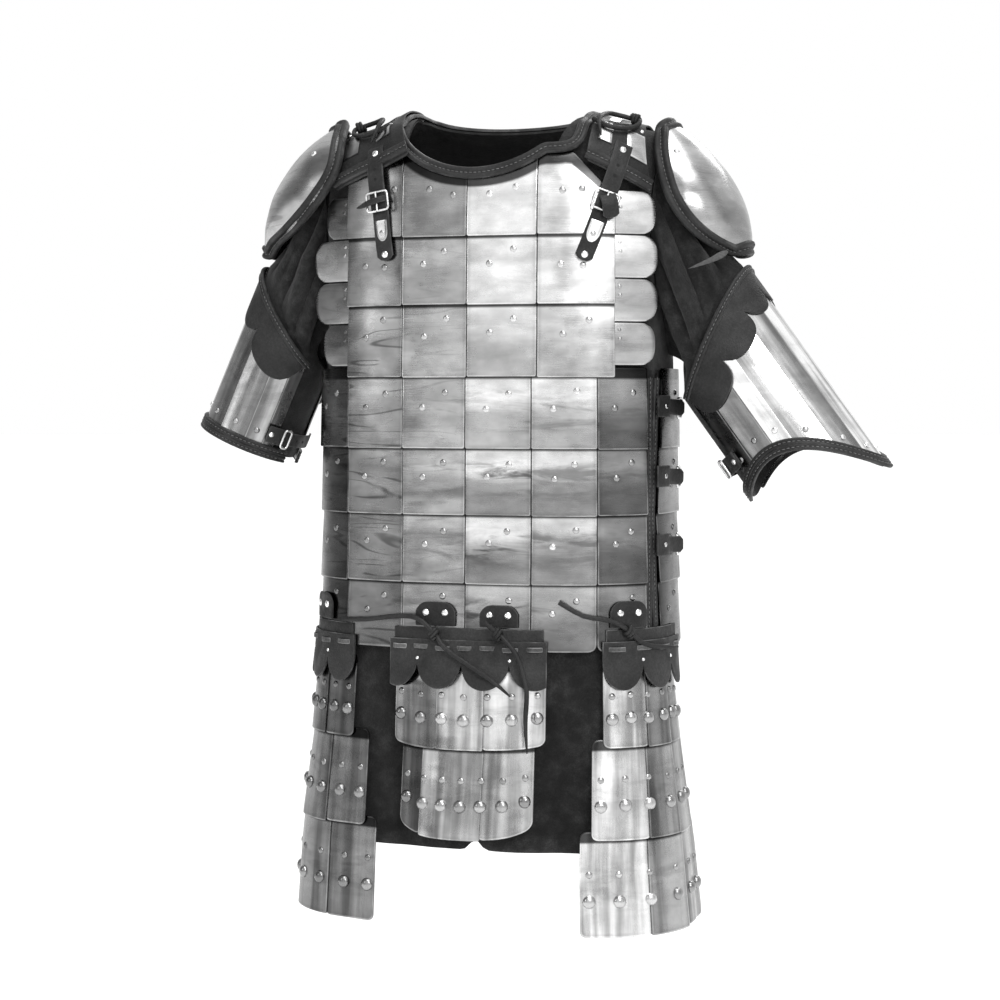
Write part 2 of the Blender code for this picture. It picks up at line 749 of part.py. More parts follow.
def yoke_place(side, face, across, share):
    """Distance and path of a point of a yoke: share runs from its foot on a face to the shoulder's top."""
    inner, outer = (YOKE_FEET if face == "front" else YOKE_BACK)[side]
    foot, low = lerp(inner[0], outer[0], across), lerp(inner[1], outer[1], across)
    top = lerp(*YOKE_TOP[side], across)
    wide = top + (foot - top) * (1 - share) ** 2.2
    x, _ = section_point("front", foot, 0.0)
    return wide, lerp(path_height(x, low), shoulder_top(section_point("front", top, 0.0)[0]), share)


def yoke(side):
    """Leather over the shoulder from the chest to the shoulder blade."""
    name = "left" if side > 0 else "right"
    grid = []
    for face, shares in (("front", spread(0.0, 1.0, 9)), ("back", spread(1.0, 0.0, 9)[1:])):
        turn = 1 if face == "front" else -1
        for share in shares:
            row = []
            for across in spread(0.0, 1.0, 4):
                wide, path = yoke_place(side, face, across, share)
                s = side * turn * wide
                row.append(skin(face, s, path, YOKE_LIFT - settle(face, s, path)))
            grid.append(row if side > 0 else row[::-1])
    shell(f"yoke_{name}", grid, LEATHER, "leather")


def spaulder(side):
    name = "left" if side > 0 else "right"
    grid = []
    for (mid_x, mid_z), front, back in SPAULDERS[side]:
        spine = Vector((mid_x, 0.0, mid_z))
        row = []
        for turn in spread(-90, 90, 10):
            edge_x, edge_y, edge_z = front if turn > 0 else back
            c, s = math.cos(math.radians(turn)), abs(math.sin(math.radians(turn)))
            heart = Vector((edge_x, 0.0, edge_z))
            point = heart + (spine - heart) * c + Vector((0, edge_y, 0)) * s
            row.append(Vector((point.x * side, point.y, point.z)))
        grid.append(row if side > 0 else row[::-1])
    shell(f"spaulder_{name}", grid[::-1], SPAULDER_STEEL, "steel")
    last, away = len(grid[0]) - 1, SPAULDER_BINDING + 0.0046
    edge = [(0, c) for c in range(last)] + [(r, last) for r in range(len(grid) - 1)]
    edge += [(len(grid) - 1, c) for c in range(last, 0, -1)] + [(r, 0) for r in range(len(grid) - 1, 0, -1)]
    loop = []
    for r, c in edge:
        step = Vector((0, 0, 0))
        if r in (0, len(grid) - 1):
            step += (grid[r][c] - grid[1 if r == 0 else r - 1][c]).normalized()
        if c in (0, last):
            step += (grid[r][c] - grid[r][1 if c == 0 else c - 1]).normalized()
        loop.append(grid[r][c] + step * away)
    wire(f"spaulder_binding_{name}", loop, SPAULDER_BINDING, "leather", cyclic=True)


# For each side: the strap's line from the yoke to its foot, as (s, z).
SHOULDER_STRAPS = {
    "left": ((0.1645, -0.053), (0.1615, -0.067), (0.157, -0.084), (0.146, -0.119), (0.136, -0.148),
             (0.127, -0.172)),
    "right": ((-0.1065, -0.0515), (-0.104, -0.065), (-0.102, -0.081), (-0.0975, -0.114), (-0.0945, -0.143),
              (-0.091, -0.169)),
}
STRAP_WIDTH = 0.020
BUCKLE_WIRE = 0.0014


def buckle(name, centre, along, out, width, length):
    """A rectangular wire frame lying flat on a strap."""
    across = along.cross(out).normalized()
    corners = ((-1, -1), (1, -1), (1, 1), (-1, 1))
    points = [centre + across * a * width / 2 + along * b * length / 2 for a, b in corners]
    wire(name, points, BUCKLE_WIRE, "steel", cyclic=True)


def shoulder_strap(name, line):
    centres, normals = on_form(line)
    side = 1 if name == "left" else -1
    chape_lift = OVER_PLATES + 0.0004
    strap_lift = chape_lift + LEATHER + 0.0006
    ribbon(f"shoulder_chape_{name}", centres[3:], normals[3:], [STRAP_WIDTH] * 3, LEATHER, "leather",
           lift=chape_lift)
    ribbon(f"shoulder_strap_{name}", centres[:4], normals[:4], [STRAP_WIDTH] * 4, LEATHER, "leather",
           lift=strap_lift)
    along = (centres[3] - centres[2]).normalized()
    seat = centres[3].lerp(centres[2], 0.40) + normals[3] * (strap_lift + LEATHER + BUCKLE_WIRE + 0.0012)
    buckle(f"shoulder_buckle_{name}", seat, along, normals[3], 0.028, 0.020)


# Three straps close the wearer's left side: their heights, with ends as distances round the body.
SIDE_STRAP_HEIGHTS = (-0.331, -0.409, -0.486)
SIDE_STRAP_FROM, SIDE_STRAP_TO = 0.176, 0.256


def side_strap(n, z):
    stations = spread(SIDE_STRAP_FROM, SIDE_STRAP_TO, 5)
    centres, normals = on_form([(s, z) for s in stations])
    lift = OVER_PLATES + 0.0004
    ribbon(f"side_strap_{n}", centres, normals, [0.018] * 6, LEATHER, "leather", lift=lift)


# ---------------------------------------------------------------- tassets

# For each tasset: how far it bows across its width, how far it swings out at its foot, the edges of its
# leather, one cusp of the leather's scallops, their pitch, and its rows as top, foot and two edges.
TASSETS = {
    "centre": dict(bow=0.020, swing=0.0, edges=(-0.085, 0.092), cusp=-0.050, pitch=0.052,
                   rows=((-0.612, -0.711, -0.080, 0.091), (-0.701, -0.808, -0.069, 0.080))),
    "left": dict(bow=0.004, swing=0.022, edges=(0.148, 0.262), cusp=0.148, pitch=0.041,
                 rows=((-0.612, -0.708, 0.150, 0.262), (-0.698, -0.808, 0.139, 0.272),
                       (-0.798, -0.911, 0.128, 0.284))),
    "right": dict(bow=0.004, swing=0.012, edges=(-0.244, -0.130), cusp=-0.244, pitch=0.038,
                  rows=((-0.612, -0.706, -0.244, -0.132), (-0.696, -0.804, -0.252, -0.113),
                        (-0.794, -0.909, -0.262, -0.100))),
}
TASSET_BAND_TOP, TASSET_CUSP, TASSET_LOBE = -0.577, -0.612, -0.644
# How far each row's foot rises towards its ends.
TASSET_ENDS = {"centre": (0.006, 0.014), "left": (0.0, 0.0, 0.0), "right": (0.0, 0.0, 0.0)}
TASSET_LIFT = 0.0085
TASSET_LEAN = 0.0030


def tasset_point(spec, s, z, lift):
    """A point of a hanging tasset: it bows out across its width and swings out towards its foot."""
    left, right = spec["edges"]
    middle, half = (left + right) / 2, (right - left) / 2
    bow = spec["bow"] * max(0.0, 1 - ((s - middle) / half) ** 2) * min(1.0, max(0.0, (-0.577 - z) / 0.06))
    bow *= 1 + 0.7 * min(1.0, max(0.0, (-0.700 - z) / 0.1))
    swing = spec["swing"] * max(0.0, (-0.610 - z) / 0.31) ** 1.2
    base, _, _, out = skin_frame("front", s, max(z, -0.830))
    return base + Vector((0, 0, min(0.0, z + 0.830))) + out * (lift + bow + swing)


def tasset(name, spec):
    left, right = spec["edges"]
    cusp, pitch = spec["cusp"], spec["pitch"]
    steps = [cusp + pitch * k / 6 for k in range(-6, 36)]
    columns = [left] + [s for s in steps if left + 0.002 < s < right - 0.002] + [right]
    lift = OVER_PLATES + 0.0004
    grid = []
    for share in (0.0, 0.45, 0.75, 1.0):
        row = []
        for s in columns:
            lobe = math.sqrt(max(0.0, 1 - (2 * ((s - cusp) / pitch % 1.0) - 1) ** 2))
            foot = lerp(TASSET_CUSP, TASSET_LOBE, lobe)
            row.append(tasset_point(spec, s, lerp(foot, TASSET_BAND_TOP, share), lift + 0.0016 * (1 - share)))
        grid.append(row)
    shell(f"tasset_{name}_leather", grid, LEATHER, "leather")
    for n, (top, foot, start, end) in enumerate(spec["rows"]):
        grid = []
        for share in spread(0.0, 1.0, 3):
            row_lift = TASSET_LIFT + TASSET_LEAN * (1 - share)
            row = []
            for k in range(11):
                raised = TASSET_ENDS[name][n] * abs(k / 5 - 1) ** 4
                z = lerp(foot + raised, top, share)
                row.append(tasset_point(spec, lerp(start, end, k / 10), z, row_lift))
            grid.append(row)
        shell(f"tasset_{name}_row_{n + 1}", grid, STEEL, "steel")


# Leather tabs riveted to the lowest row: edges round the body, then foot and top.
TABS = {
    "centre_right": (-0.056, -0.010, -0.5755, -0.549),
    "centre_left": (0.018, 0.061, -0.5755, -0.551),
    "left": (0.156, 0.196, -0.5755, -0.546),
    "right": (-0.206, -0.166, -0.5755, -0.546),
}


def tab(name, edges):
    left, right, foot, top = edges
    lift = OVER_PLATES + 0.0004
    grid = []
    for z, draw in ((foot, 1.0), (lerp(foot, top, 0.72), 1.0), (top, 0.74)):
        middle, half = (left + right) / 2, (right - left) / 2 * draw
        grid.append([at_height("front", s, z, lift) for s in spread(middle - half, middle + half, 4)])
    shell(f"tab_{name}", grid, LEATHER, "leather")


# ---------------------------------------------------------------- lacing

THONG = 0.0027
# Each thong's line: (s, height, lift off the form).
THONGS = {
    "thong_right": ((-0.150, -0.574, 0.018), (-0.112, -0.571, 0.0195), (-0.078, -0.566, 0.0190),
                    (-0.052, -0.567, 0.0215), (-0.030, -0.583, 0.026), (-0.016, -0.599, 0.031),
                    (0.018, -0.619, 0.0375), (0.040, -0.633, 0.0388), (0.058, -0.649, 0.0380)),
    "thong_middle": ((0.026, -0.570, 0.022), (0.046, -0.584, 0.029), (0.062, -0.602, 0.034),
                     (0.070, -0.624, 0.034), (0.074, -0.645, 0.034), (0.073, -0.677, 0.034),
                     (0.075, -0.711, 0.034)),
    "thong_left": ((0.104, -0.546, 0.0165), (0.129, -0.561, 0.0175), (0.154, -0.566, 0.0195),
                   (0.172, -0.577, 0.0200), (0.188, -0.593, 0.0215), (0.212, -0.599, 0.024),
                   (0.234, -0.602, 0.027)),
}


# A thong ties each spaulder to its yoke: the left one's line, mirrored nearer the neck for the right.
SHOULDER_TIE = ((0.126, -0.027, 0.0196), (0.142, -0.036, 0.0194), (0.158, -0.0385, 0.0194),
                (0.172, -0.0365, 0.0196), (0.177, -0.0310, 0.0202), (0.168, -0.0260, 0.0212),
                (0.152, -0.0220, 0.0234), (0.138, -0.0230, 0.0252), (0.133, -0.0350, 0.0257),
                (0.139, -0.0480, 0.0214))
TIE_IN = {1: 0.0, -1: 0.0275}


def thong(name, line):
    points = []
    for s, z, lift in line:
        path = path_height(section_point("front", s, min(z, 0.0))[0], z)
        points.append(at_height("front", s, z, lift - settle("front", s, path)))
    smooth = []
    for i in range(len(points) - 1):
        before, start = points[max(i - 1, 0)], points[i]
        end, after = points[i + 1], points[min(i + 2, len(points) - 1)]
        for t in (0.0, 0.5):
            out_tangent, in_tangent = (end - before) / 2, (after - start) / 2
            a, b = 2 * t ** 3 - 3 * t ** 2 + 1, t ** 3 - 2 * t ** 2 + t
            c, d = -2 * t ** 3 + 3 * t ** 2, t ** 3 - t ** 2
            smooth.append(start * a + out_tangent * b + end * c + in_tangent * d)
    smooth.append(points[-1])
    wire(name, smooth, THONG, "leather", sides=1)


def main():
    for obj in list(bpy.data.objects):
        bpy.data.objects.remove(obj)
    bpy.context.scene.collection.children.link(COLLECTION)
    for face in ("front", "back"):
        tunic_panel(face)
    backing("front")
    backing("back")
    for n in range(7):
        front_row(n)
    back_plates()
    neck_binding()
    for side in (1, -1):
        petals(side)
        yoke(side)
        spaulder(side)
    for name, arm in ARMS.items():
        sleeve(name, arm)
        arm_guard(name, arm)
    for name, line in SHOULDER_STRAPS.items():
        shoulder_strap(name, line)
    for n, z in enumerate(SIDE_STRAP_HEIGHTS):
        side_strap(n + 1, z)
    for name, spec in TASSETS.items():
        tasset(name, spec)
    for name, edges in TABS.items():
        tab(name, edges)
    for name, line in THONGS.items():
        thong(name, line)
    for name, side in (("left", 1), ("right", -1)):
        thong(f"shoulder_tie_{name}", [(side * (s - TIE_IN[side]), z, lift) for s, z, lift in SHOULDER_TIE])


COLLECTION = bpy.data.collections.new("scale_armour")
main()
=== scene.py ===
import functools
import math
import random

import bmesh
import bpy
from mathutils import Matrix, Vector, noise


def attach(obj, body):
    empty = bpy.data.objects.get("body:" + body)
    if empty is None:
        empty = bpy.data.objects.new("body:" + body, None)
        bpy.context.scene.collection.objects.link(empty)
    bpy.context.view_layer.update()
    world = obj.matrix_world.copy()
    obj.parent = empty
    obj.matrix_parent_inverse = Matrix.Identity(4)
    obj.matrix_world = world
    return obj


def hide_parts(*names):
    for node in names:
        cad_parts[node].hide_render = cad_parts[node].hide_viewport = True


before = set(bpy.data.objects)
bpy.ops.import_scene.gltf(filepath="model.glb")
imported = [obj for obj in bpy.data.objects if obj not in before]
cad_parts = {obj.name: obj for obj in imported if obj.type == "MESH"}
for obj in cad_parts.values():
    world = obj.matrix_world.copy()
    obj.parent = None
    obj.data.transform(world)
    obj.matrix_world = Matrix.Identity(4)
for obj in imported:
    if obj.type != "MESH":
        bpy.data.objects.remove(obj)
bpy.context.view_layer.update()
random.seed(17)

# ---------------------------------------------------------------- camera
# The armour is looked at level with the chest and a little from the wearer's left side.

CAMERA_TURN = math.radians(17)
CAMERA_AWAY = 2.5
CAMERA_HEIGHT = -0.3196
CAMERA_DIP = math.radians(2.78)
LENS = 77.3

camera = bpy.data.objects.new("camera", bpy.data.cameras.new("camera"))
camera.data.lens = LENS
camera.data.sensor_width = 36
camera.location = (math.sin(CAMERA_TURN) * CAMERA_AWAY, -math.cos(CAMERA_TURN) * CAMERA_AWAY, CAMERA_HEIGHT)
camera.rotation_euler = (math.pi / 2 - CAMERA_DIP, 0, CAMERA_TURN)
bpy.context.scene.collection.objects.link(camera)
bpy.context.scene.camera = camera
bpy.context.scene.view_settings.view_transform = "Standard"

# ---------------------------------------------------------------- the body form
# Every piece is laid on one smooth torso form, the one the armour was fitted to: it is placed by its
# distance round the body from the front or back centre, by its height, and by its lift off the form.

CLOTH = 0.003
LEATHER = 0.002
STEEL = 0.0012
# The torso's sections: height, half width, depth of the front half, depth of the back half.
TORSO = (
    (0.000, 0.194, 0.117, 0.112),
    (-0.120, 0.196, 0.120, 0.116),
    (-0.300, 0.196, 0.121, 0.116),
    (-0.450, 0.194, 0.120, 0.112),
    (-0.600, 0.196, 0.122, 0.116),
    (-0.720, 0.201, 0.126, 0.122),
    (-0.830, 0.208, 0.131, 0.128),
)
SQUARENESS = 2.8
SHOULDER_ROUND = 0.085
SHOULDER_SLOPE = 0.26
SLOPE_FROM = 0.09
NECK_HALF = 0.093
NECK_LEFT = 0.113
NECK_DROP = {"front": 0.072, "back": 0.012}
# The front neck's lowest point lies towards the wearer's left, and its left corner is square.
NECK_SHIFT = 0.010
NECK_CORNER = 0.050
NECK_CORNER_POWER = 20
BACKING_LIFT = CLOTH + 0.0028
PLATE_LIFT = BACKING_LIFT + LEATHER + 0.0021
OVER_PLATES = PLATE_LIFT + 0.0037
FIRST_ROW_TOP = -0.040
# Over the shoulder things lie this much closer to the form. They settle over this length of path, from
# this far above the first row's top.
SETTLE = 0.0070
SETTLE_OVER = 0.022
SETTLE_FROM = 0.008


def lerp(a, b, share):
    return a + (b - a) * share


def spread(start, end, steps):
    return [lerp(start, end, i / steps) for i in range(steps + 1)]


def held(value):
    """The value, held between 0 and 1."""
    return min(1.0, max(0.0, value))


def arch(share, power=2):
    """The height of an arch one high with its feet at -1 and 1, squarer with a higher power."""
    return max(0.0, 1 - abs(share) ** power) ** (1 / power)


def torso_size(z):
    """Half width, front depth and back depth of the body at a height."""
    if z >= TORSO[0][0]:
        return TORSO[0][1:]
    for (high, *top), (low, *foot) in zip(TORSO, TORSO[1:]):
        if z >= low:
            share = (high - z) / (high - low)
            return tuple(lerp(a, b, share) for a, b in zip(top, foot))
    return TORSO[-1][1:]


@functools.lru_cache(maxsize=None)
def half_ring(z):
    """(distance from the front centre, x, y) round the left half of the body, front centre to back centre."""
    half_width, front, back = torso_size(z)
    power = 2 / SQUARENESS
    steps = 240
    ring, distance = [], 0.0
    for i in range(steps + 1):
        angle = math.pi * i / steps
        c, s = math.cos(angle), math.sin(angle)
        depth = front if c > 0 else back
        x = half_width * abs(s) ** power
        y = -math.copysign(depth * abs(c) ** power, c)
        if ring:
            distance += math.dist((x, y), ring[-1][1:])
        ring.append((distance, x, y))
    return ring


def seam_distance(face, z):
    """From the centre of a face to the side seam, round the body."""
    ring = half_ring(round(z, 4))
    to_side = ring[len(ring) // 2][0]
    return to_side if face == "front" else ring[-1][0] - to_side


def section_point(face, s, z):
    """x and y at a distance s from the centre of a face. Seen from outside, s grows to the right."""
    ring = half_ring(round(z, 4))
    side = 1 if face == "front" else -1
    along = abs(s) if face == "front" else ring[-1][0] - abs(s)
    along = min(max(along, 0.0), ring[-1][0])
    low, high = 0, len(ring) - 1
    while high - low > 1:
        middle = (low + high) // 2
        if ring[middle][0] <= along:
            low = middle
        else:
            high = middle
    start, end = ring[low], ring[high]
    share = (along - start[0]) / max(end[0] - start[0], 1e-9)
    return math.copysign(1, s) * side * lerp(start[1], end[1], share), lerp(start[2], end[2], share)


def shoulder_height(x):
    return -SHOULDER_SLOPE * max(0.0, abs(x) - SLOPE_FROM)


def path_height(x, z):
    """Turns a height into the length of path up the wall, which bends over the shoulder near its top."""
    start = shoulder_height(x) - SHOULDER_ROUND
    if z <= start:
        return z
    return start + SHOULDER_ROUND * math.asin(min(1.0, (z - start) / SHOULDER_ROUND))


def shoulder_top(x):
    """The length of path at which a wall reaches the top of the shoulder."""
    return shoulder_height(x) + SHOULDER_ROUND * (math.pi / 2 - 1)


def neck_half(side):
    """Half the neck opening's width, wider towards the wearer's left."""
    return NECK_LEFT if side > 0 else NECK_HALF


def neckline(face, x):
    """Height of the neck edge above a point across the body."""
    middle = NECK_SHIFT if face == "front" else 0.0
    half = neck_half(x - middle) - math.copysign(middle, x - middle)
    drop = NECK_DROP[face] * arch((x - middle) / half)
    if face == "front" and x > middle:
        drop = max(drop, NECK_CORNER * arch(x / NECK_LEFT, NECK_CORNER_POWER))
    return -drop


def settle(face, s, path):
    """How much closer to the form things lie over the shoulder than over the plates."""
    x, _ = section_point(face, s, 0.0)
    share = held((path - path_height(x, FIRST_ROW_TOP + SETTLE_FROM)) / SETTLE_OVER)
    return SETTLE * share * share * (3 - 2 * share)


def bare_skin(face, s, path):
    x, y = section_point(face, s, min(path, 0.0))
    start = shoulder_height(x) - SHOULDER_ROUND
    if path <= start:
        return Vector((x, y, path))
    bend = (path - start) / SHOULDER_ROUND
    return Vector((x, y * math.cos(bend), start + SHOULDER_ROUND * math.sin(bend)))


def skin_frame(face, s, path):
    """The point on the form, and the unit vectors along s, up the wall and outwards there."""
    step = 0.002
    along = bare_skin(face, s + step, path) - bare_skin(face, s - step, path)
    up = bare_skin(face, s, path + step) - bare_skin(face, s, path - step)
    out = along.cross(up).normalized()
    return bare_skin(face, s, path), along.normalized(), up.normalized(), out


def skin(face, s, path, lift):
    point, _, _, out = skin_frame(face, s, path)
    return point + out * lift


def at_height(face, s, z, lift):
    x, _ = section_point(face, s, min(z, 0.0))
    return skin(face, s, path_height(x, z), lift)


def seat_on(face, s, z, lift):
    """A point over the form, settled on the shoulder, with the outward direction there."""
    x, _ = section_point(face, s, min(z, 0.0))
    path = path_height(x, z)
    point, _, _, out = skin_frame(face, s, path)
    return point + out * (lift - (settle(face, s, path) if lift > BACKING_LIFT else 0.0)), out


# ---------------------------------------------------------------- lacing
# Soft leather thongs, about 5.5 mm through, lace the hip plates and the shoulder caps to the cuirass.
# Each is one strip with its cut ends free, drawn up in a plain overhand knot.

THONG = 0.0054
# Each thong's line: (s, height, lift off the form).
THONGS = {
    "thong_right": ((-0.150, -0.574, 0.018), (-0.112, -0.571, 0.0195), (-0.078, -0.566, 0.0190),
                    (-0.052, -0.567, 0.0215), (-0.030, -0.583, 0.026), (-0.016, -0.599, 0.031),
                    (0.018, -0.619, 0.0375), (0.040, -0.633, 0.0388), (0.058, -0.649, 0.0380)),
    "thong_middle": ((0.026, -0.570, 0.022), (0.046, -0.584, 0.029), (0.062, -0.602, 0.034),
                     (0.070, -0.624, 0.034), (0.074, -0.645, 0.034), (0.073, -0.677, 0.034),
                     (0.075, -0.711, 0.034)),
    "thong_left": ((0.104, -0.546, 0.0165), (0.129, -0.561, 0.0175), (0.154, -0.566, 0.0195),
                   (0.172, -0.577, 0.0200), (0.188, -0.593, 0.0215), (0.212, -0.599, 0.024),
                   (0.234, -0.602, 0.027)),
    "shoulder_tie_left": ((0.126, -0.027, 0.0196), (0.142, -0.036, 0.0194), (0.158, -0.0385, 0.0194),
                          (0.172, -0.0365, 0.0196), (0.177, -0.0310, 0.0202), (0.168, -0.0260, 0.0212),
                          (0.152, -0.0220, 0.0234), (0.138, -0.0230, 0.0252), (0.133, -0.0350, 0.0257),
                          (0.139, -0.0480, 0.0214)),
}
# The right tie mirrors the left one, moved this far towards the wearer's left.
TIE_SHIFT = 0.0275
THONGS["shoulder_tie_right"] = [(TIE_SHIFT - s, z, lift) for s, z, lift in THONGS["shoulder_tie_left"]]
# The knots' places as shares of their thongs.
KNOTS = {"thong_right": 0.50, "thong_middle": 0.14, "thong_left": 0.52, "shoulder_tie_left": 0.52,
         "shoulder_tie_right": 0.52}
# How wide a thong's cut tip is against the rest, and how much thinner a drawn-up knot's strand is.
THONG_TIP = 0.30
KNOT_STRAND = 0.82


def smooth_line(points, parts):
    """The points with parts - 1 more between each two, on one smooth curve through them all."""
    line = []
    for i in range(len(points) - 1):
        before, start = points[max(i - 1, 0)], points[i]
        end, after = points[i + 1], points[min(i + 2, len(points) - 1)]
        for k in range(parts):
            t = k / parts
            line.append(
                start * (2 * t ** 3 - 3 * t ** 2 + 1) + (end - before) / 2 * (t ** 3 - 2 * t ** 2 + t)
                + end * (3 * t ** 2 - 2 * t ** 3) + (after - start) / 2 * (t ** 3 - t ** 2)
            )
    return line + [points[-1]]


def add_node(tree, kind, values=(), **settings):
    """A shader node with its sockets set to numbers or linked to other nodes' outputs."""
    made = tree.nodes.new(kind)
    for setting, value in settings.items():
        setattr(made, setting, value)
    for socket, value in dict(values).items():
        target = made.inputs[socket]
        if isinstance(value, bpy.types.NodeSocket):
            tree.links.new(value, target)
        else:
            target.default_value = value
    return made


def sums(tree, operation, a, b=0.0, c=0.0, clamp=False):
    values = {0: a, 1: b, 2: c} if operation == "MULTIPLY_ADD" else {0: a, 1: b}
    return add_node(tree, "ShaderNodeMath", values, operation=operation, use_clamp=clamp).outputs[0]


def times(tree, value, *others):
    for other in others:
        value = sums(tree, "MULTIPLY", value, other)
    return value


def fade(tree, value, start, end, low=0.0, high=1.0):
    """Runs smoothly from low to high while the value runs from start to end."""
    ends = {"Value": value, "From Min": start, "From Max": end, "To Min": low, "To Max": high}
    return add_node(tree, "ShaderNodeMapRange", ends, interpolation_type="SMOOTHSTEP").outputs["Result"]


def grey(tree, value):
    return add_node(tree, "ShaderNodeCombineColor", {"Red": value, "Green": value, "Blue": value}).outputs[0]


def in_place(tree, stretch=(1, 1, 1)):
    """The surface's own coordinates in metres, stretched along each axis."""
    coordinates = add_node(tree, "ShaderNodeTexCoord").outputs["Object"]
    return add_node(tree, "ShaderNodeMapping", {"Vector": coordinates, "Scale": stretch}).outputs[0]


def unevenness(tree, where, scale, detail, roughness, distortion=0.0):
    values = {"Vector": where, "Scale": scale, "Detail": detail, "Roughness": roughness,
              "Distortion": distortion}
    return add_node(tree, "ShaderNodeTexNoise", values).outputs["Fac"]


def grain(tree, scale, detail, roughness=0.5):
    return unevenness(tree, in_place(tree), scale, detail, roughness)


def new_finish(name, colour, roughness, metallic=0.0):
    made = bpy.data.materials.new(name)
    made.use_nodes = True
    made.diffuse_color = (*colour, 1.0)
    shader = made.node_tree.nodes["Principled BSDF"]
    shader.inputs["Base Color"].default_value = (*colour, 1.0)
    shader.inputs["Roughness"].default_value = roughness
    shader.inputs["Metallic"].default_value = metallic
    return made, made.node_tree, shader


def bump(tree, shader, height, depth, strength=1.0):
    made = add_node(tree, "ShaderNodeBump", {"Height": height, "Distance": depth, "Strength": strength})
    tree.links.new(made.outputs[0], shader.inputs["Normal"])


def marks_of(tree, name):
    """The three numbers that a sheet's points carry under a name."""
    carried = add_node(tree, "ShaderNodeAttribute", attribute_name=name).outputs["Vector"]
    return add_node(tree, "ShaderNodeSeparateXYZ", {0: carried}).outputs


def edge_distance(tree):
    """How far a spot is from the nearest edge of its own sheet, in metres."""
    at, whole = marks_of(tree, "place"), marks_of(tree, "size")
    across, up = (sums(tree, "MINIMUM", at[k], sums(tree, "SUBTRACT", whole[k], at[k])) for k in (0, 1))
    return sums(tree, "MINIMUM", across, up)


def leather_finish(name, shade, edges=True, rub=2.2):
    """Vegetable-tanned leather dyed dark: pebbled grain, uneven dye, and paler rubbed edges."""
    made, tree, shader = new_finish(name, (shade, shade, shade * 1.02), 0.55)
    dye = fade(tree, grain(tree, 18, 5, 0.65), 0.3, 0.7, 0.50, 1.45)
    pores = fade(tree, grain(tree, 420, 3, 0.6), 0.35, 0.7, 0.75, 1.20)
    tone = times(tree, dye, pores, shade)
    if edges:
        rubbed = fade(tree, edge_distance(tree), 0.0013, 0.0002)
        rubbed = times(tree, rubbed, fade(tree, grain(tree, 60, 4), 0.40, 0.65, 0.10, 1.0))
        tone = sums(tree, "MULTIPLY_ADD", rubbed, shade * rub, tone)
    tree.links.new(grey(tree, tone), shader.inputs["Base Color"])
    shader.inputs["Specular IOR Level"].default_value = 0.30
    tree.links.new(fade(tree, grain(tree, 45, 4), 0.3, 0.7, 0.45, 0.72), shader.inputs["Roughness"])
    cells = add_node(tree, "ShaderNodeTexVoronoi", {"Vector": in_place(tree), "Scale": 620},
                     feature="SMOOTH_F1").outputs["Distance"]
    creases = grain(tree, 70, 5, 0.65)
    bump(tree, shader, sums(tree, "MULTIPLY_ADD", creases, 1.5, cells), 0.0006, 0.6)
    return made


THONG_LEATHER = leather_finish("thong_leather", 0.016, edges=False)


def ride(piece, slot, *nodes):
    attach(piece, "root")
    if nodes:
        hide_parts(*nodes)
    return piece


def lay_thong(name, line, diameter):
    """A round strip along points that narrows over its last few to a cut tip."""
    curve = bpy.data.curves.new(name, "CURVE")
    curve.dimensions = "3D"
    curve.bevel_depth = diameter / 2
    curve.bevel_resolution = 4
    curve.use_fill_caps = True
    spline = curve.splines.new("POLY")
    spline.points.add(len(line) - 1)
    for i, p in enumerate(line):
        spline.points[i].co = (*p, 1.0)
        left = (len(line) - 1 - i) / 4
        spline.points[i].radius = 1.0 - (1 - THONG_TIP) * max(0.0, 1 - left) ** 1.5
    curve.materials.append(THONG_LEATHER)
    made = bpy.data.objects.new(name, curve)
    bpy.context.scene.collection.objects.link(made)
    return made


def overhand_knot(name, line, at):
    """Two turns of the thong drawn tight round itself at a share of its line."""
    here = at * (len(line) - 1)
    start = line[int(here)].lerp(line[int(here) + 1], here % 1)
    along = (line[int(here) + 1] - line[int(here)]).normalized()
    side = along.cross(Vector((0, -1, 0))).normalized()
    front = side.cross(along)
    turns, points = 2.25, []
    for share in spread(0.0, 1.0, 36):
        angle = 2 * math.pi * turns * share
        reach = THONG * (0.80 + 0.12 * math.sin(3 * angle))
        tilt = 0.0016 * math.sin(angle + 0.6)
        points.append(start + along * (THONG * 1.5 * (share - 0.5) + tilt)
                      + side * reach * math.cos(angle) + front * reach * math.sin(angle))
    return lay_thong(name, points, THONG * KNOT_STRAND)


for name, stations in THONGS.items():
    line = smooth_line([seat_on("front", s, z, lift)[0] for s, z, lift in stations], 3)
    laid = ride(lay_thong(f"{name}_lace", line, THONG), "leather", name)
    knot = ride(overhand_knot(f"{name}_knot", line, KNOTS[name]), "leather")
    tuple(line[0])

# ---------------------------------------------------------------- floor and light
# A plain white floor as far below the shoulders as a wearer stands, lit from above until it runs into
# the white room, and soft light from all round: bright behind and to the right, darker to the left,
# which the steel mirrors.

FLOOR = -1.45
floor_mesh = bpy.data.meshes.new("floor")
sweep_of_floor = bmesh.new()
bmesh.ops.create_circle(sweep_of_floor, cap_ends=True, segments=96, radius=60)
sweep_of_floor.to_mesh(floor_mesh)
sweep_of_floor.free()
floor = bpy.data.objects.new("floor", floor_mesh)
floor.location.z = FLOOR
bpy.context.scene.collection.objects.link(floor)
paint, tree, shader = new_finish("floor_paint", (0.95, 0.95, 0.95), 1.0)
tree.links.new(grey(tree, fade(tree, grain(tree, 0.8, 4), 0.3, 0.7, 0.94, 0.96)), shader.inputs["Base Color"])
shader.inputs["Specular IOR Level"].default_value = 0.0
floor.data.materials.append(paint)

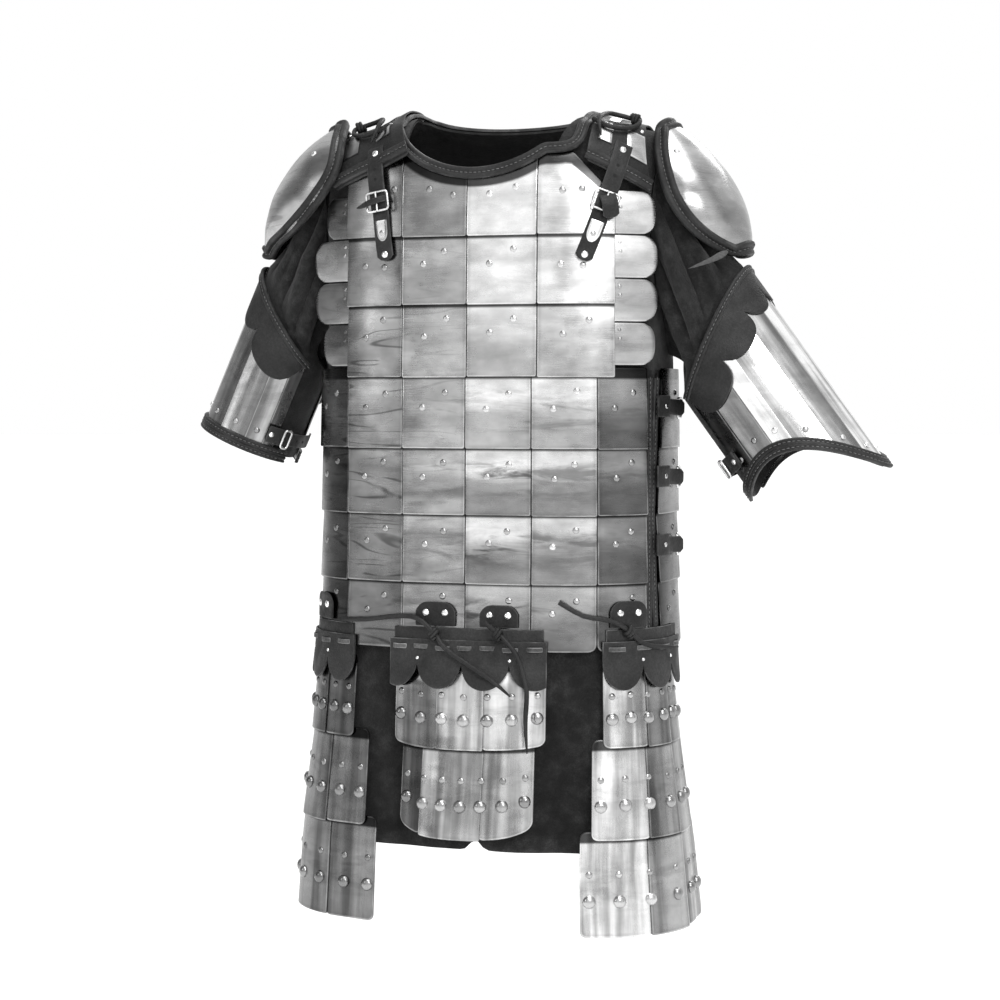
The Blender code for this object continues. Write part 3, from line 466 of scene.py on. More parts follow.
# How bright the room is in each direction: degrees round from straight ahead of the armour, towards
# the wearer's left, and the brightness there.
ROOM = ((-180, 1.00), (-130, 0.80), (-100, 0.34), (-72, 0.22), (-58, 0.42), (-40, 0.30), (-26, 0.36),
        (-16, 1.10), (4, 0.95), (14, 0.62), (26, 1.15), (44, 0.60), (62, 1.10), (88, 0.50), (104, 0.90),
        (150, 1.00), (180, 1.00))
world = bpy.data.worlds.new("room")
world.use_nodes = True
tree = world.node_tree
tree.nodes.clear()
direction = add_node(tree, "ShaderNodeTexCoord").outputs["Generated"]
split = add_node(tree, "ShaderNodeSeparateXYZ", {0: direction})
around = sums(tree, "ARCTAN2", split.outputs["X"], sums(tree, "MULTIPLY", split.outputs["Y"], -1.0))
turn = sums(tree, "MULTIPLY_ADD", around, 1 / (2 * math.pi), 0.5)
ramp = add_node(tree, "ShaderNodeValToRGB", {"Fac": turn})
ramp.color_ramp.interpolation = "EASE"
for i, (degrees, bright) in enumerate(ROOM):
    share = (degrees + 180) / 360
    if i == 0:
        stop = ramp.color_ramp.elements[0]
    elif i == len(ROOM) - 1:
        stop = ramp.color_ramp.elements[-1]
    else:
        stop = ramp.color_ramp.elements.new(share)
    stop.position = share
    stop.color = (bright, bright, bright, 1.0)
background = add_node(tree, "ShaderNodeBackground", {"Color": ramp.outputs["Color"], "Strength": 1.0})
plain = add_node(tree, "ShaderNodeBackground", {"Color": (1.0, 1.0, 1.0, 1.0), "Strength": 1.0})
seen = add_node(tree, "ShaderNodeLightPath").outputs["Is Camera Ray"]
mixed = add_node(tree, "ShaderNodeMixShader", {0: seen, 1: background.outputs[0], 2: plain.outputs[0]})
add_node(tree, "ShaderNodeOutputWorld", {"Surface": mixed.outputs[0]})
bpy.context.scene.world = world


def soft_light(name, place, target, width, height, power):
    """A rectangular lamp turned to face a point."""
    lamp = bpy.data.lights.new(name, "AREA")
    lamp.shape = "RECTANGLE"
    lamp.size, lamp.size_y, lamp.energy = width, height, power
    made = bpy.data.objects.new(name, lamp)
    made.location = place
    made.rotation_euler = (Vector(target) - Vector(place)).to_track_quat("-Z", "Y").to_euler()
    bpy.context.scene.collection.objects.link(made)


sun = bpy.data.lights.new("overhead", "SUN")
sun.energy, sun.angle = 1.6, math.radians(40)
overhead = bpy.data.objects.new("overhead", sun)
overhead.rotation_euler = (math.radians(12), math.radians(10), 0)
bpy.context.scene.collection.objects.link(overhead)
soft_light("key", (1.7, -2.4, 1.2), (0, 0, -0.4), 1.2, 1.2, 38)
soft_light("fill", (-2.2, -2.2, 0.6), (0, 0, -0.4), 0.8, 1.6, 9)
soft_light("rim", (0.4, 2.4, 1.6), (0, 0, -0.3), 1.6, 0.8, 26)

# ---------------------------------------------------------------- the cloth tunic
# A tunic of thick dark fulled wool, cut as a front and a back joined at the sides and shoulders, under
# everything else. Its skirt falls in soft folds to a turned hem with a small notch at the front.

ARMPIT = -0.270
ARMHOLE_INSET = 0.055
HEM = -0.825
# The notch: how far it cuts into the hem, where it is, its half width and how far up it is felt.
HEM_NOTCH = 0.012
NOTCH_AT, NOTCH_HALF, NOTCH_FADE = 0.012, 0.008, 0.030
# The hem is turned up this far, which thickens it by this much.
HEM_TURN = 0.016
HEM_THICKER = 0.0012
SEAM_GAP = 0.0003
SKIRT_FOLDS_FROM = -0.605
LOOSE_BELOW = -0.60
# Soft folds of the skirt: distance from the centre, how far they stand out at the hem, half width.
SKIRT_FOLDS = {
    "front": ((-0.150, 0.004, 0.026), (-0.070, -0.006, 0.022), (0.048, 0.003, 0.020),
              (0.108, -0.007, 0.024), (0.190, 0.004, 0.030)),
    "back": ((-0.175, -0.005, 0.028), (-0.090, 0.006, 0.026), (0.012, -0.006, 0.024), (0.090, 0.005, 0.022),
             (0.165, -0.004, 0.026)),
}


def wool_finish():
    """Fulled wool, nearly black, with a soft nap and dust that greys it in small uneven patches."""
    made, tree, shader = new_finish("fulled_wool", (0.010, 0.010, 0.011), 0.96)
    cloud = fade(tree, grain(tree, 7, 4, 0.6), 0.3, 0.7, 0.60, 1.30)
    dust = fade(tree, grain(tree, 60, 5, 0.7), 0.38, 0.72, 0.62, 1.75)
    nap = fade(tree, grain(tree, 900, 2, 0.6), 0.3, 0.75, 0.65, 1.45)
    tone = times(tree, cloud, dust, nap, 0.011)
    # Painted light along the tops of the folds and painted shade in their troughs.
    curve = add_node(tree, "ShaderNodeNewGeometry").outputs["Pointiness"]
    tone = times(tree, tone, fade(tree, curve, 0.485, 0.515, 0.45, 1.60))
    tree.links.new(grey(tree, tone), shader.inputs["Base Color"])
    shader.inputs["Specular IOR Level"].default_value = 0.15
    shader.inputs["Sheen Weight"].default_value = 0.10
    shader.inputs["Sheen Roughness"].default_value = 0.6
    felt = grain(tree, 520, 4, 0.7)
    nubs = grain(tree, 130, 3, 0.6)
    bump(tree, shader, sums(tree, "MULTIPLY_ADD", nubs, 0.8, felt), 0.0009, 0.8)
    return made


WOOL = wool_finish()


def skirt_fold(face, s, z):
    """How far the skirt stands out from the form because of its folds."""
    below = held((SKIRT_FOLDS_FROM - z) / (SKIRT_FOLDS_FROM - HEM))
    folds = sum(out * math.exp(-(((s - at) / half) ** 2)) for at, out, half in SKIRT_FOLDS[face])
    return below ** 1.3 * folds


def rumple(point, size, height):
    """A slight unevenness that is the same each time."""
    return height * noise.noise(point / size)


def tunic_top(face, share):
    x, _ = section_point(face, share * seam_distance(face, 0.0), 0.0)
    if abs(x) < neck_half(x) - 0.0005:
        return path_height(x, neckline(face, x))
    return shoulder_top(x)


def seam_shift(face):
    """Keeps the front and the back a hair apart where they meet."""
    return Vector((0, SEAM_GAP / 2 * (-1 if face == "front" else 1), 0))


def tunic_point(face, share, t, lift):
    """A point of the upper tunic: t runs from the armpit's level, 0, to the top edge, 1."""
    path = lerp(ARMPIT, tunic_top(face, share), t)
    edge = seam_distance(face, min(path, 0.0)) - ARMHOLE_INSET * math.sin(math.pi * t)
    return skin(face, share * edge, path, lift) + seam_shift(face)


def make_mesh(name, work, finish, crease=40.0):
    """Turns the work into an object, smooth but for edges sharper than the crease."""
    bmesh.ops.recalc_face_normals(work, faces=work.faces)
    mesh = bpy.data.meshes.new(name)
    work.to_mesh(mesh)
    work.free()
    mesh.shade_smooth()
    mesh.set_sharp_from_angle(angle=math.radians(crease))
    mesh.materials.append(finish)
    made = bpy.data.objects.new(name, mesh)
    bpy.context.scene.collection.objects.link(made)
    return made


def join_grids(work, under, over, wrapped=False):
    """Closes the wall between two grids of points. Wrapped ones join their last column to the first."""
    low = [[work.verts.new(p) for p in row] for row in under]
    high = [[work.verts.new(p) for p in row] for row in over]
    rows, columns = len(low), len(low[0])
    for r in range(rows - 1):
        for c in range(columns if wrapped else columns - 1):
            d = (c + 1) % columns
            work.faces.new((high[r][c], high[r][d], high[r + 1][d], high[r + 1][c]))
            work.faces.new((low[r + 1][c], low[r + 1][d], low[r][d], low[r][c]))
    for r, turn in ((0, 1), (rows - 1, -1)):
        for c in range(columns if wrapped else columns - 1):
            d = (c + 1) % columns
            work.faces.new((low[r][c], low[r][d], high[r][d], high[r][c])[::turn])
    if not wrapped:
        for c, turn in ((0, -1), (columns - 1, 1)):
            for r in range(rows - 1):
                work.faces.new((low[r][c], low[r + 1][c], high[r + 1][c], high[r][c])[::turn])


def tunic_panel(face):
    """Two layers of points, the inner one on the form, with the hem's turned edge a little thicker."""
    neck_columns, side_columns, skirt_rows, chest_rows = 28, 27, 64, 26
    turn, halves = 1 if face == "front" else -1, []
    for side in (-turn, turn):
        corner = next(d for d, x, _ in half_ring(0.0) if x >= neck_half(side)) / seam_distance("front", 0.0)
        halves.append([corner * math.sin(math.pi / 2 * share) for share in spread(0.0, 1.0, neck_columns)]
                      + spread(corner, 1.0, side_columns)[1:])
    shares = [-s for s in reversed(halves[0][1:])] + halves[1]
    under, over = [], []
    for i in range(skirt_rows):
        level = lerp(HEM, ARMPIT, (i / skirt_rows) ** 1.25)
        inner, outer = [], []
        for share in shares:
            s = share * seam_distance(face, level)
            x, _ = section_point(face, s, level)
            notch = HEM_NOTCH * math.exp(-(((x - NOTCH_AT) / NOTCH_HALF) ** 2)) if face == "front" else 0.0
            z = level + notch * max(0.0, 1 - (level - HEM) / NOTCH_FADE)
            above = z - HEM - notch
            turned = HEM_THICKER * (1 - held((above - HEM_TURN) / 0.003))
            hem_roll = 0.0014 * max(0.0, 1 - above / 0.004)
            base, out = seat_on(face, s, z, 0.0)
            loose = held((LOOSE_BELOW - z) / 0.05)
            wave = loose * (rumple(base, 0.045, 0.0022) + rumple(base, 0.016, 0.0007))
            hang = skirt_fold(face, s, z) + wave
            inner.append(base + out * (hang + hem_roll * 0.6) + seam_shift(face))
            outer.append(base + out * (hang + CLOTH + turned - hem_roll) + seam_shift(face))
        under.append(inner)
        over.append(outer)
    for t in spread(0.0, 1.0, chest_rows):
        under.append([tunic_point(face, share, t, 0.0) for share in shares])
        over.append([tunic_point(face, share, t, CLOTH) for share in shares])
    work = bmesh.new()
    join_grids(work, under, over)
    return make_mesh(f"tunic_{face}_cloth", work, WOOL, 60)


for face in ("front", "back"):
    cloth = ride(tunic_panel(face), "wool", f"tunic_{face}")

# ---------------------------------------------------------------- sleeves
# Wide short sleeves of the same wool, set into the armholes, wrinkled from the shoulder down and
# running on down inside the arm guards to just past their hems.

# For each arm: the middle of the guard's hem, the arm's angle from hanging straight down, the half
# sizes of the sleeve's section outwards and forwards, the guard's hem and its top edge over the hem's
# middle as (mean, once round, twice round), its scallops, and the edges of its splints round the arm.
ARMS = {
    "left": dict(side=1, hem=(0.3590, 0.0, -0.3967), angle=36.0, out=0.070, fore=0.058,
                 foot=(-0.004, -0.028, -0.024), top=(0.176, 0.044), scallops=7,
                 splints=(-146, -114, -82, -50, -18, 8, 30, 52, 81, 97, 122, 146)),
    "right": dict(side=-1, hem=(-0.3160, 0.0, -0.3760), angle=24.0, out=0.0565, fore=0.053,
                  foot=(-0.001, -0.001, 0.000), top=(0.157, 0.045), scallops=6,
                  splints=(-168, -134, -100, -66, -32, 2, 36, 69, 102, 123, 138)),
}
SLEEVE_PAST_GUARD = 0.006
SLEEVE_AROUND = 168
# Each sleeve's cloth laid flat: across, along, and its area.
SLEEVE_CUTS = {"left": (0.38, 0.44, 0.123), "right": (0.33, 0.37, 0.097)}
# Folds along a sleeve between armhole and guard: way round, how far they stand out, half width and
# how far they slant from shoulder to guard, all but the second in degrees.
SLEEVE_FOLDS = ((20, 0.005, 15, 10), (44, -0.009, 6, -10), (60, 0.007, 5, -8), (76, -0.011, 5, 12),
                (91, 0.009, 5, 14), (106, -0.012, 5, 6), (122, 0.008, 6, 2), (140, -0.009, 6, -10),
                (168, -0.004, 7, 0), (205, 0.004, 14, 6), (238, -0.005, 9, -8), (258, 0.003, 8, -4),
                (282, -0.004, 8, 8), (305, 0.003, 9, 6), (334, -0.003, 9, -6))


def arm_axes(arm):
    """Down the arm, and outwards and forwards across it."""
    angle = math.radians(arm["angle"])
    down = Vector((arm["side"] * math.sin(angle), 0, -math.cos(angle)))
    return down, Vector((arm["side"] * math.cos(angle), 0, math.sin(angle))), Vector((0, -1, 0))


def arm_point(arm, turn, up, lift):
    """A point round the arm: turn is 0 outwards, 90 at the front and 180 inside, and up is the height
    along the arm above the hem's middle."""
    down, outwards, forwards = arm_axes(arm)
    c, s = math.cos(math.radians(turn)), math.sin(math.radians(turn))
    out, fore = arm["out"] + lift, arm["fore"] + lift
    return Vector(arm["hem"]) - down * up + outwards * out * c + forwards * fore * s


def guard_foot(arm, turn):
    mean, once, twice = arm["foot"]
    return mean + once * math.cos(math.radians(turn)) + twice * math.cos(math.radians(2 * turn))


def guard_top(arm, turn):
    mean, once = arm["top"]
    return mean + once * math.cos(math.radians(turn))


def armhole_ring(side):
    """Round the armhole from the shoulder down the front, and up the back, just outside the tunic's edge."""
    ts = spread(1.0, 0.0, SLEEVE_AROUND // 2)
    front = [tunic_point("front", side, t, CLOTH + 0.0006) for t in ts]
    back = [tunic_point("back", -side, t, CLOTH + 0.0006) for t in reversed(ts)]
    return [(front[0] + back[-1]) / 2] + front[1:-1] + [(front[-1] + back[0]) / 2] + back[1:-1]


def sleeve_fold(turn, share):
    total = 0.0
    for at, out, half, slant in SLEEVE_FOLDS:
        away = (turn - at - slant * (share - 0.5) + 180) % 360 - 180
        total += out * math.exp(-((away / half) ** 2))
    return total


def ways_along(line, closed=False):
    """The direction of a line at each of its points."""
    count = len(line)
    if closed:
        return [(line[(i + 1) % count] - line[i - 1]).normalized() for i in range(count)]
    return [(line[min(i + 1, count - 1)] - line[max(i - 1, 0)]).normalized() for i in range(count)]


def outs_of(grid, heart, wrapped=False):
    """The directions out of a grid of points, away from the heart of each row."""
    outs = []
    for r, row in enumerate(grid):
        above, below = grid[max(r - 1, 0)], grid[min(r + 1, len(grid) - 1)]
        ways = zip(ways_along(row, wrapped), below, above)
        normals = [across.cross(low - high).normalized() for across, low, high in ways]
        outs.append([n if n.dot(p - heart(row)) > 0 else -n for p, n in zip(row, normals)])
    return outs


def sleeve(name, arm):
    side = arm["side"]
    start = [p + Vector((side * 0.0008, 0, 0)) for p in armhole_ring(side)]
    under, free_rows, guard_rows = [], 44, 22
    for share in spread(0.0, 1.0, free_rows) + spread(1.0, 2.0, guard_rows)[1:]:
        inner = []
        for i in range(SLEEVE_AROUND):
            turn = 360 * i / SLEEVE_AROUND
            top, foot = guard_top(arm, turn) + 0.006, guard_foot(arm, turn) + SLEEVE_PAST_GUARD
            if share <= 1.0:
                enter = arm_point(arm, turn, top, -CLOTH)
                middle = Vector(arm["hem"]) - arm_axes(arm)[0] * top
                away = (enter - middle).normalized()
                puff = 0.006 - 0.022 * math.cos(math.radians(turn)) ** 2
                p = start[i].lerp(enter, share)
                free = math.sin(math.pi * share)
                swell = free * (puff + sleeve_fold(turn, share))
                swell += free ** 0.5 * (rumple(p, 0.030, 0.0034) + rumple(p, 0.013, 0.0012))
                inner.append(p + away * swell)
            else:
                inner.append(arm_point(arm, turn, lerp(top, foot, share - 1.0), -CLOTH))
        under.append(inner)
    outs = outs_of(under, lambda row: sum(row[::24], Vector()) / len(row[::24]), wrapped=True)
    over = [[p + out * CLOTH for p, out in zip(row, row_outs)] for row, row_outs in zip(under, outs)]
    work = bmesh.new()
    join_grids(work, under, over, wrapped=True)
    return make_mesh(f"sleeve_{name}_cloth", work, WOOL, 60)


for name, arm in ARMS.items():
    cloth = ride(sleeve(name, arm), "wool", f"sleeve_{name}")
    wide, long, cut_area = SLEEVE_CUTS[name]

# ---------------------------------------------------------------- leather backing
# Sheets of dark leather under the plates, front and back, whose closed side edges show between the
# rows and the side seams. The plates are riveted to them.

BACKING_LEATHER = leather_finish("backing_leather", 0.010, edges=False)
for node in ("backing_front", "backing_back"):
    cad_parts[node].material_slots[0].material = BACKING_LEATHER

# ---------------------------------------------------------------- the breast: seven rows of plates
# Nearly flat plates of polished mild steel, 1.2 mm thick, in four or six columns. Each row hangs over
# the top of the next, and every plate is held to the leather by two dome-headed rivets.

PLATE_OVERLAP = 0.010
PLATE_GAP = 0.0007
PLATE_CORNER = 0.0022
LAST_ROW_CORNER = 0.009
# How far a plate's foot stands out, how far it is tipped to one side, how uneven its foot is, and the
# share of the body's roundness that it leaves out.
PLATE_LEAN = 0.0032
PLATE_TIP = 0.0009
FOOT_UNEVEN = 0.0007
PLATE_FLATNESS = (0.16, 0.26)
# The first row's distance from the neck edge.
NECK_MARGIN = 0.007
# A sheet's softened lip: how far in from the edge it starts and how far it drops.
LIP = 0.0006
LIP_ROLL = 0.0003
# The foot of each row, how many rows lie above the armpits, and the edges of the plates there and below.
ROW_FEET = (-0.1435, -0.2190, -0.2990, -0.3780, -0.4520, -0.5280, -0.6020)
CHEST_ROWS = 3
CHEST_COLUMNS = (-0.143, -0.073, 0.002, 0.080, 0.161)
WAIST_COLUMNS = (-0.207, -0.143, -0.073, 0.000, 0.074, 0.143, 0.199)


def steel_finish(name, upright=False, tucked=0.0, shadow_depth=0.0006):
    """Polished steel with hammer waves, painted dark reflection bands, fine scratches and rubbed bright
    edges. Upright sheets carry painted reflection streaks along their length. Tucked ones have a painted
    shadow line below what overlaps their top, as deep as their shadow depth."""
    made, tree, shader = new_finish(name, (0.60, 0.60, 0.61), 0.25, 1.0)
    x, y, tone = marks_of(tree, "place")
    _, high, lines = marks_of(tree, "size")
    dark_reflections, foot_shade, seed = marks_of(tree, "shade")
    up = sums(tree, "DIVIDE", y, sums(tree, "MAXIMUM", high, 0.001))
    shift = add_node(tree, "ShaderNodeCombineXYZ", {0: seed, 1: seed, 2: seed})

    def plate_grain(scale, detail, stretch, roughness=0.55, distortion=0.0):
        moved = add_node(tree, "ShaderNodeVectorMath", {0: in_place(tree, stretch), 1: shift.outputs[0]},
                         operation="ADD")
        return unevenness(tree, moved.outputs[0], scale, detail, roughness, distortion)

    if upright:
        # Painted reflection streaks run along an upright sheet.
        lengthways = {0: times(tree, x, 62.0), 1: times(tree, y, 3.5), 2: seed}
        own = add_node(tree, "ShaderNodeCombineXYZ", lengthways)
        reflection_streak = unevenness(tree, own.outputs[0], 1.0, 4.0, 0.50, 0.2)
        cloud = fade(tree, reflection_streak, 0.34, 0.66, 0.50, 1.40)
    else:
        cloud = fade(tree, plate_grain(9, 3, (1, 1, 3)), 0.32, 0.68, 0.74, 1.22)
    bloom = fade(tree, plate_grain(34, 4, (1, 1, 1.4)), 0.35, 0.70, 0.90, 1.10)
    # Wavy dark lines where the sheet's waves turn the light away.
    wave = plate_grain(11, 1.5, (0.40, 0.40, 3.0), 0.45, 0.35)
    contour = sums(tree, "SUBTRACT", sums(tree, "FRACT", times(tree, wave, 7.0)), 0.5)
    thin = fade(tree, sums(tree, "ABSOLUTE", contour), 0.12, 0.02)
    patch = fade(tree, plate_grain(20, 2, (1, 1, 2)), 0.40, 0.54)
    line = times(tree, thin, patch, lines)
    # Painted dark reflection bands across the middle of a plate, ragged at their edges.
    drift = plate_grain(10, 5, (1, 1, 5.5), 0.62, 0.5)
    middle = times(tree, fade(tree, up, 0.12, 0.40), fade(tree, up, 0.80, 0.58))
    dark_reflection = times(tree, fade(tree, drift, 0.46, 0.62), middle, dark_reflections)
    # The foot of a plate in the body's own shade.
    low = times(tree, fade(tree, sums(tree, "MULTIPLY_ADD", drift, 0.9, up), 1.15, 0.75), foot_shade)
    body = times(tree, cloud, bloom, tone)
    for stain, depth in ((line, 0.55), (dark_reflection, 0.80), (low, 0.62)):
        body = times(tree, body, sums(tree, "SUBTRACT", 1.0, times(tree, stain, depth)))
    # Edges rubbed bright by their neighbours, with painted shade in the last fraction of a millimetre and a
    # little over the next few.
    edge = edge_distance(tree)
    wear = fade(tree, plate_grain(30, 3, (1, 1, 1)), 0.36, 0.60, 0.02, 0.20)
    rubbed = times(tree, fade(tree, edge, 0.0019, 0.0010), wear)
    near, wider = fade(tree, edge, 0.0002, 0.0007, 0.45, 1.0), fade(tree, edge, 0.0016, 0.0060, 0.84, 1.0)
    painted_edge_shade = times(tree, near, wider)
    # A painted shadow line just below the foot of the row that overlaps the top.
    if tucked:
        shown = sums(tree, "SUBTRACT", sums(tree, "SUBTRACT", high, tucked), y)
        painted_edge_shade = times(tree, painted_edge_shade, fade(tree, shown, shadow_depth, shadow_depth + 0.0032, 0.10, 1.0))
    body = sums(tree, "MULTIPLY", sums(tree, "ADD", body, rubbed), painted_edge_shade, clamp=True)
    tree.links.new(grey(tree, body), shader.inputs["Base Color"])
    dull = fade(tree, plate_grain(22, 4, (1, 1, 1)), 0.3, 0.7, 0.17, 0.33)
    scratch = plate_grain(60, 2, (30, 30, 0.8) if upright else (0.8, 0.8, 30))
    rough = sums(tree, "MULTIPLY_ADD", fade(tree, scratch, 0.45, 0.75), 0.08, dull)
    tree.links.new(sums(tree, "MULTIPLY_ADD", dark_reflection, 0.12, rough), shader.inputs["Roughness"])
    waves = plate_grain(13, 2, (1, 1, 1.6))
    fine = plate_grain(120, 3, (1, 1, 1))
    bump(tree, shader, sums(tree, "MULTIPLY_ADD", fine, 0.020, waves), 0.0022, 0.55)
    return made


PLATE_STEEL = steel_finish("plate_steel")
ROW_STEEL = steel_finish("row_steel", tucked=PLATE_OVERLAP)
SHADOWED_ROW_STEEL = steel_finish("shadowed_row_steel", tucked=PLATE_OVERLAP, shadow_depth=0.0020)


# The sizes to mark where a sheet's edges are not to show: on long or large things, and on small ones.
ENDLESS = 2.0
SMALL = 0.04


def new_work():
    """A mesh in the making whose points carry their place on their own sheet."""
    work = bmesh.new()
    for name in ("place", "size", "shade"):
        work.verts.layers.float_vector.new(name)
    return work


def mark(work, vert, u, v, wide, high, tone=0.5, lines=0.0, dark_reflections=0.0, foot_shade=0.0, seed=0.0):
    """Writes on a point where it is on its sheet, the sheet's size and how it should look."""
    layers = work.verts.layers.float_vector
    vert[layers["place"]] = (u, v, tone)
    vert[layers["size"]] = (wide, high, lines)
    vert[layers["shade"]] = (dark_reflections, foot_shade, seed)


def shares_of(length, corner, cells):
    """Distances along a sheet's side, close together round its corners and along its lip."""
    inner = spread(0.0, corner, 3)[1:] if corner > 0.001 else []
    margin = inner[-1] if inner else LIP
    start = [0.0, LIP] + [d for d in inner if d > LIP * 1.5][:-1]
    middle = [d for d in spread(margin, length - margin, cells) if LIP * 1.5 < d < length - LIP * 1.5]
    return sorted(set(start + middle + [length - d for d in reversed(start)]))


def rounded(u, v, wide, high, foot_corner, top_corner):
    """Moves a point of a rectangle inwards so that the rectangle's corners are round."""
    corner = foot_corner if v < high / 2 else top_corner
    x, y = u - wide / 2, v - high / 2
    over_x, over_y = abs(x) - (wide / 2 - corner), abs(y) - (high / 2 - corner)
    if corner <= 0 or over_x <= 0 or over_y <= 0:
        return u, v
    pull = max(over_x, over_y) / math.hypot(over_x, over_y)
    return (wide / 2 + math.copysign(wide / 2 - corner + over_x * pull, x),
            high / 2 + math.copysign(high / 2 - corner + over_y * pull, y))


def lay_sheet(work, place, wide, high, thick, cells, corners, tone=0.5, lines=0.0, dark_reflections=0.0, foot_shade=0.0):
    """A sheet with a softened lip. place(u, v, lift) gives a point for metres across, up and off it."""
    seed = random.uniform(0, 40)
    across = shares_of(wide, max(corners), cells[0])
    up = shares_of(high, max(corners), cells[1])
    under, over = [], []
    for r, v in enumerate(up):
        low, top = [], []
        for c, u in enumerate(across):
            at = rounded(u, v, wide, high, *corners)
            roll = LIP_ROLL if r in (0, len(up) - 1) or c in (0, len(across) - 1) else 0.0
            low.append(place(*at, 0.0))
            top.append(place(*at, thick - roll))
        under.append(low)
        over.append(top)
    before = len(work.verts)
    join_grids(work, under, over)
    work.verts.ensure_lookup_table()
    spots = [(u, v) for v in up for u in across]
    for i, vert in enumerate(work.verts[before:]):
        mark(work, vert, *spots[i % len(spots)], wide, high, tone, lines, dark_reflections, foot_shade, seed)


def ring_of(work, centre, side, other, radius, count):
    """New points round a centre, in the plane of two directions."""
    turns = [2 * math.pi * k / count for k in range(count)]
    return [work.verts.new(centre + (side * math.cos(t) + other * math.sin(t)) * radius) for t in turns]


def join_rings(work, rings, closed=False):
    """Closes the wall from each ring of points to the next."""
    for ring, following in list(zip(rings, rings[1:])) + ([(rings[-1], rings[0])] if closed else []):
        for k in range(len(ring)):
            n = (k + 1) % len(ring)
            work.faces.new((ring[k], ring[n], following[n], following[k]))


def rivet(work, seat, out, radius, height, tone=0.75, sides=12):
    """A domed head standing on a seat, sunk in it by a hair."""
    sunk = 0.0002
    side = out.orthogonal().normalized()
    other = out.cross(side)
    rings = []
    for angle in (0, 24, 48, 70):
        c, s = math.cos(math.radians(angle)), math.sin(math.radians(angle))
        rings.append(ring_of(work, seat + out * (height * s - sunk), side, other, radius * c, sides))
    tip = work.verts.new(seat + out * (height - sunk))
    foot = [work.verts.new(v.co - out * 0.0006) for v in rings[0]]
    join_rings(work, [foot] + rings)
    for k in range(sides):
        work.faces.new((rings[-1][k], rings[-1][(k + 1) % sides], tip))
    work.faces.new(foot[::-1])
    for vert in sum(rings, []) + foot + [tip]:
        away = (vert.co - seat).length
        mark(work, vert, SMALL / 2 + radius - away, SMALL / 2, SMALL, SMALL, tone, seed=seat.x * 90)


def stand_on(place, *at):
    """A point from a function whose last value is the lift, with the outward direction there."""
    low, high = place(*at), place(*at[:-1], at[-1] + 0.01)
    return low, (high - low).normalized()


def row_rise(face, n):
    """The height of a row's top edge as a function of the distance round. The first row runs under the
    neck edge and level outside it, and is cut away under the wearer's left yoke."""

    def first_row(s):
        x, _ = section_point(face, s, -0.05)
        cut = -0.055 - 0.95 * (s - 0.112) if face == "front" and s > 0.112 else 0.0
        return min(FIRST_ROW_TOP, cut, neckline(face, x) - NECK_MARGIN)

    return (lambda s: ROW_FEET[n - 1] + PLATE_OVERLAP) if n else first_row


def row_corners(n):
    return LAST_ROW_CORNER if n == len(ROW_FEET) - 1 else PLATE_CORNER, PLATE_CORNER


def body_plate(work, face, n, left, right, foot, tip, tone, **look):
    """One plate of a row between two distances round, a little flatter than the body and tipped. Gives
    its place function, its width and its height."""
    rise = row_rise(face, n)
    wide, high = right - left - PLATE_GAP, rise((left + right) / 2) - foot
    flat = random.uniform(*PLATE_FLATNESS)
    start, middle, end = (at_height(face, s, foot + high / 2, 0.0) for s in (left, (left + right) / 2, right))
    bow = min((middle - (start + end) / 2).length, 0.004)

    def place(u, v, lift):
        s = left + PLATE_GAP / 2 + u
        a, b = u / wide, v / high
        z = foot + (rise(s) - foot) * b
        lean = PLATE_LEAN * (1 - b) + tip * (a - 0.5) - abs(tip) * 0.5 - bow * flat * 4 * a * (1 - a)
        dent = rumple(Vector((s, z, tone)), 0.034, 0.00045) * min(1.0, 6 * a, 6 * (1 - a))
        return at_height(face, s, z, PLATE_LIFT + lean + dent + lift)

    lay_sheet(work, place, wide, high, STEEL, tone=tone, **look)
    return place, wide, high


# How light each plate of a row looks, from the wearer's right to left: painted reflection, lighter towards
# the wearer's left.
BREAST_TONES = (
    (0.25, 0.43, 0.80, 0.72),
    (0.25, 0.52, 0.88, 0.86),
    (0.31, 0.56, 0.90, 0.80),
    (0.12, 0.36, 0.62, 0.94, 0.94, 0.32),
    (0.05, 0.34, 0.55, 0.86, 0.68, 0.30),
    (0.07, 0.31, 0.56, 0.80, 0.74, 0.30),
    (0.05, 0.24, 0.40, 0.44, 0.50, 0.25),
)
# How deep the painted shade towards each row's foot is, and how strongly the columns carry painted dark
# reflection bands.
ROW_FOOT_SHADE = (0.0, 0.10, 0.55, 0.85, 0.95, 0.95, 0.95)
COLUMN_DARK_REFLECTIONS = (0.0, 0.1, 0.6, 1.0, 0.8, 0.5)
# Where the two rivets of a plate sit, across it and down from the row above, as shares.
PAIR = ((0.34, 0.42), (0.67, 0.22))
ODD_PAIRS = {(0, 0): ((0.85, 0.48),), (0, 1): ((0.44, 0.30), (0.77, 0.30)),
             (0, 2): ((0.35, 0.30), (0.68, 0.30)), (0, 3): ((0.30, 0.46), (0.60, 0.32)),
             (1, 0): ((0.33, 0.42), (0.70, 0.42)), (1, 3): ((0.30, 0.42), (0.62, 0.42))}
# A rivet's head is given as its radius and height. It may stray this share of the plate from its place.
PLATE_HEAD = (0.0040, 0.0022)
STRAY = 0.03
# The rows with a deeper painted shadow line under the foot of the row above.
SHADOWED_ROWS = (1, 2)


def plate_rivet(work, place, u, v, tone):
    seat, out = stand_on(place, u, v, STEEL)
    # A head's tone follows its plate's painted reflection tone.
    rivet(work, seat, out, *PLATE_HEAD, tone * 0.55 + random.uniform(0.12, 0.20))


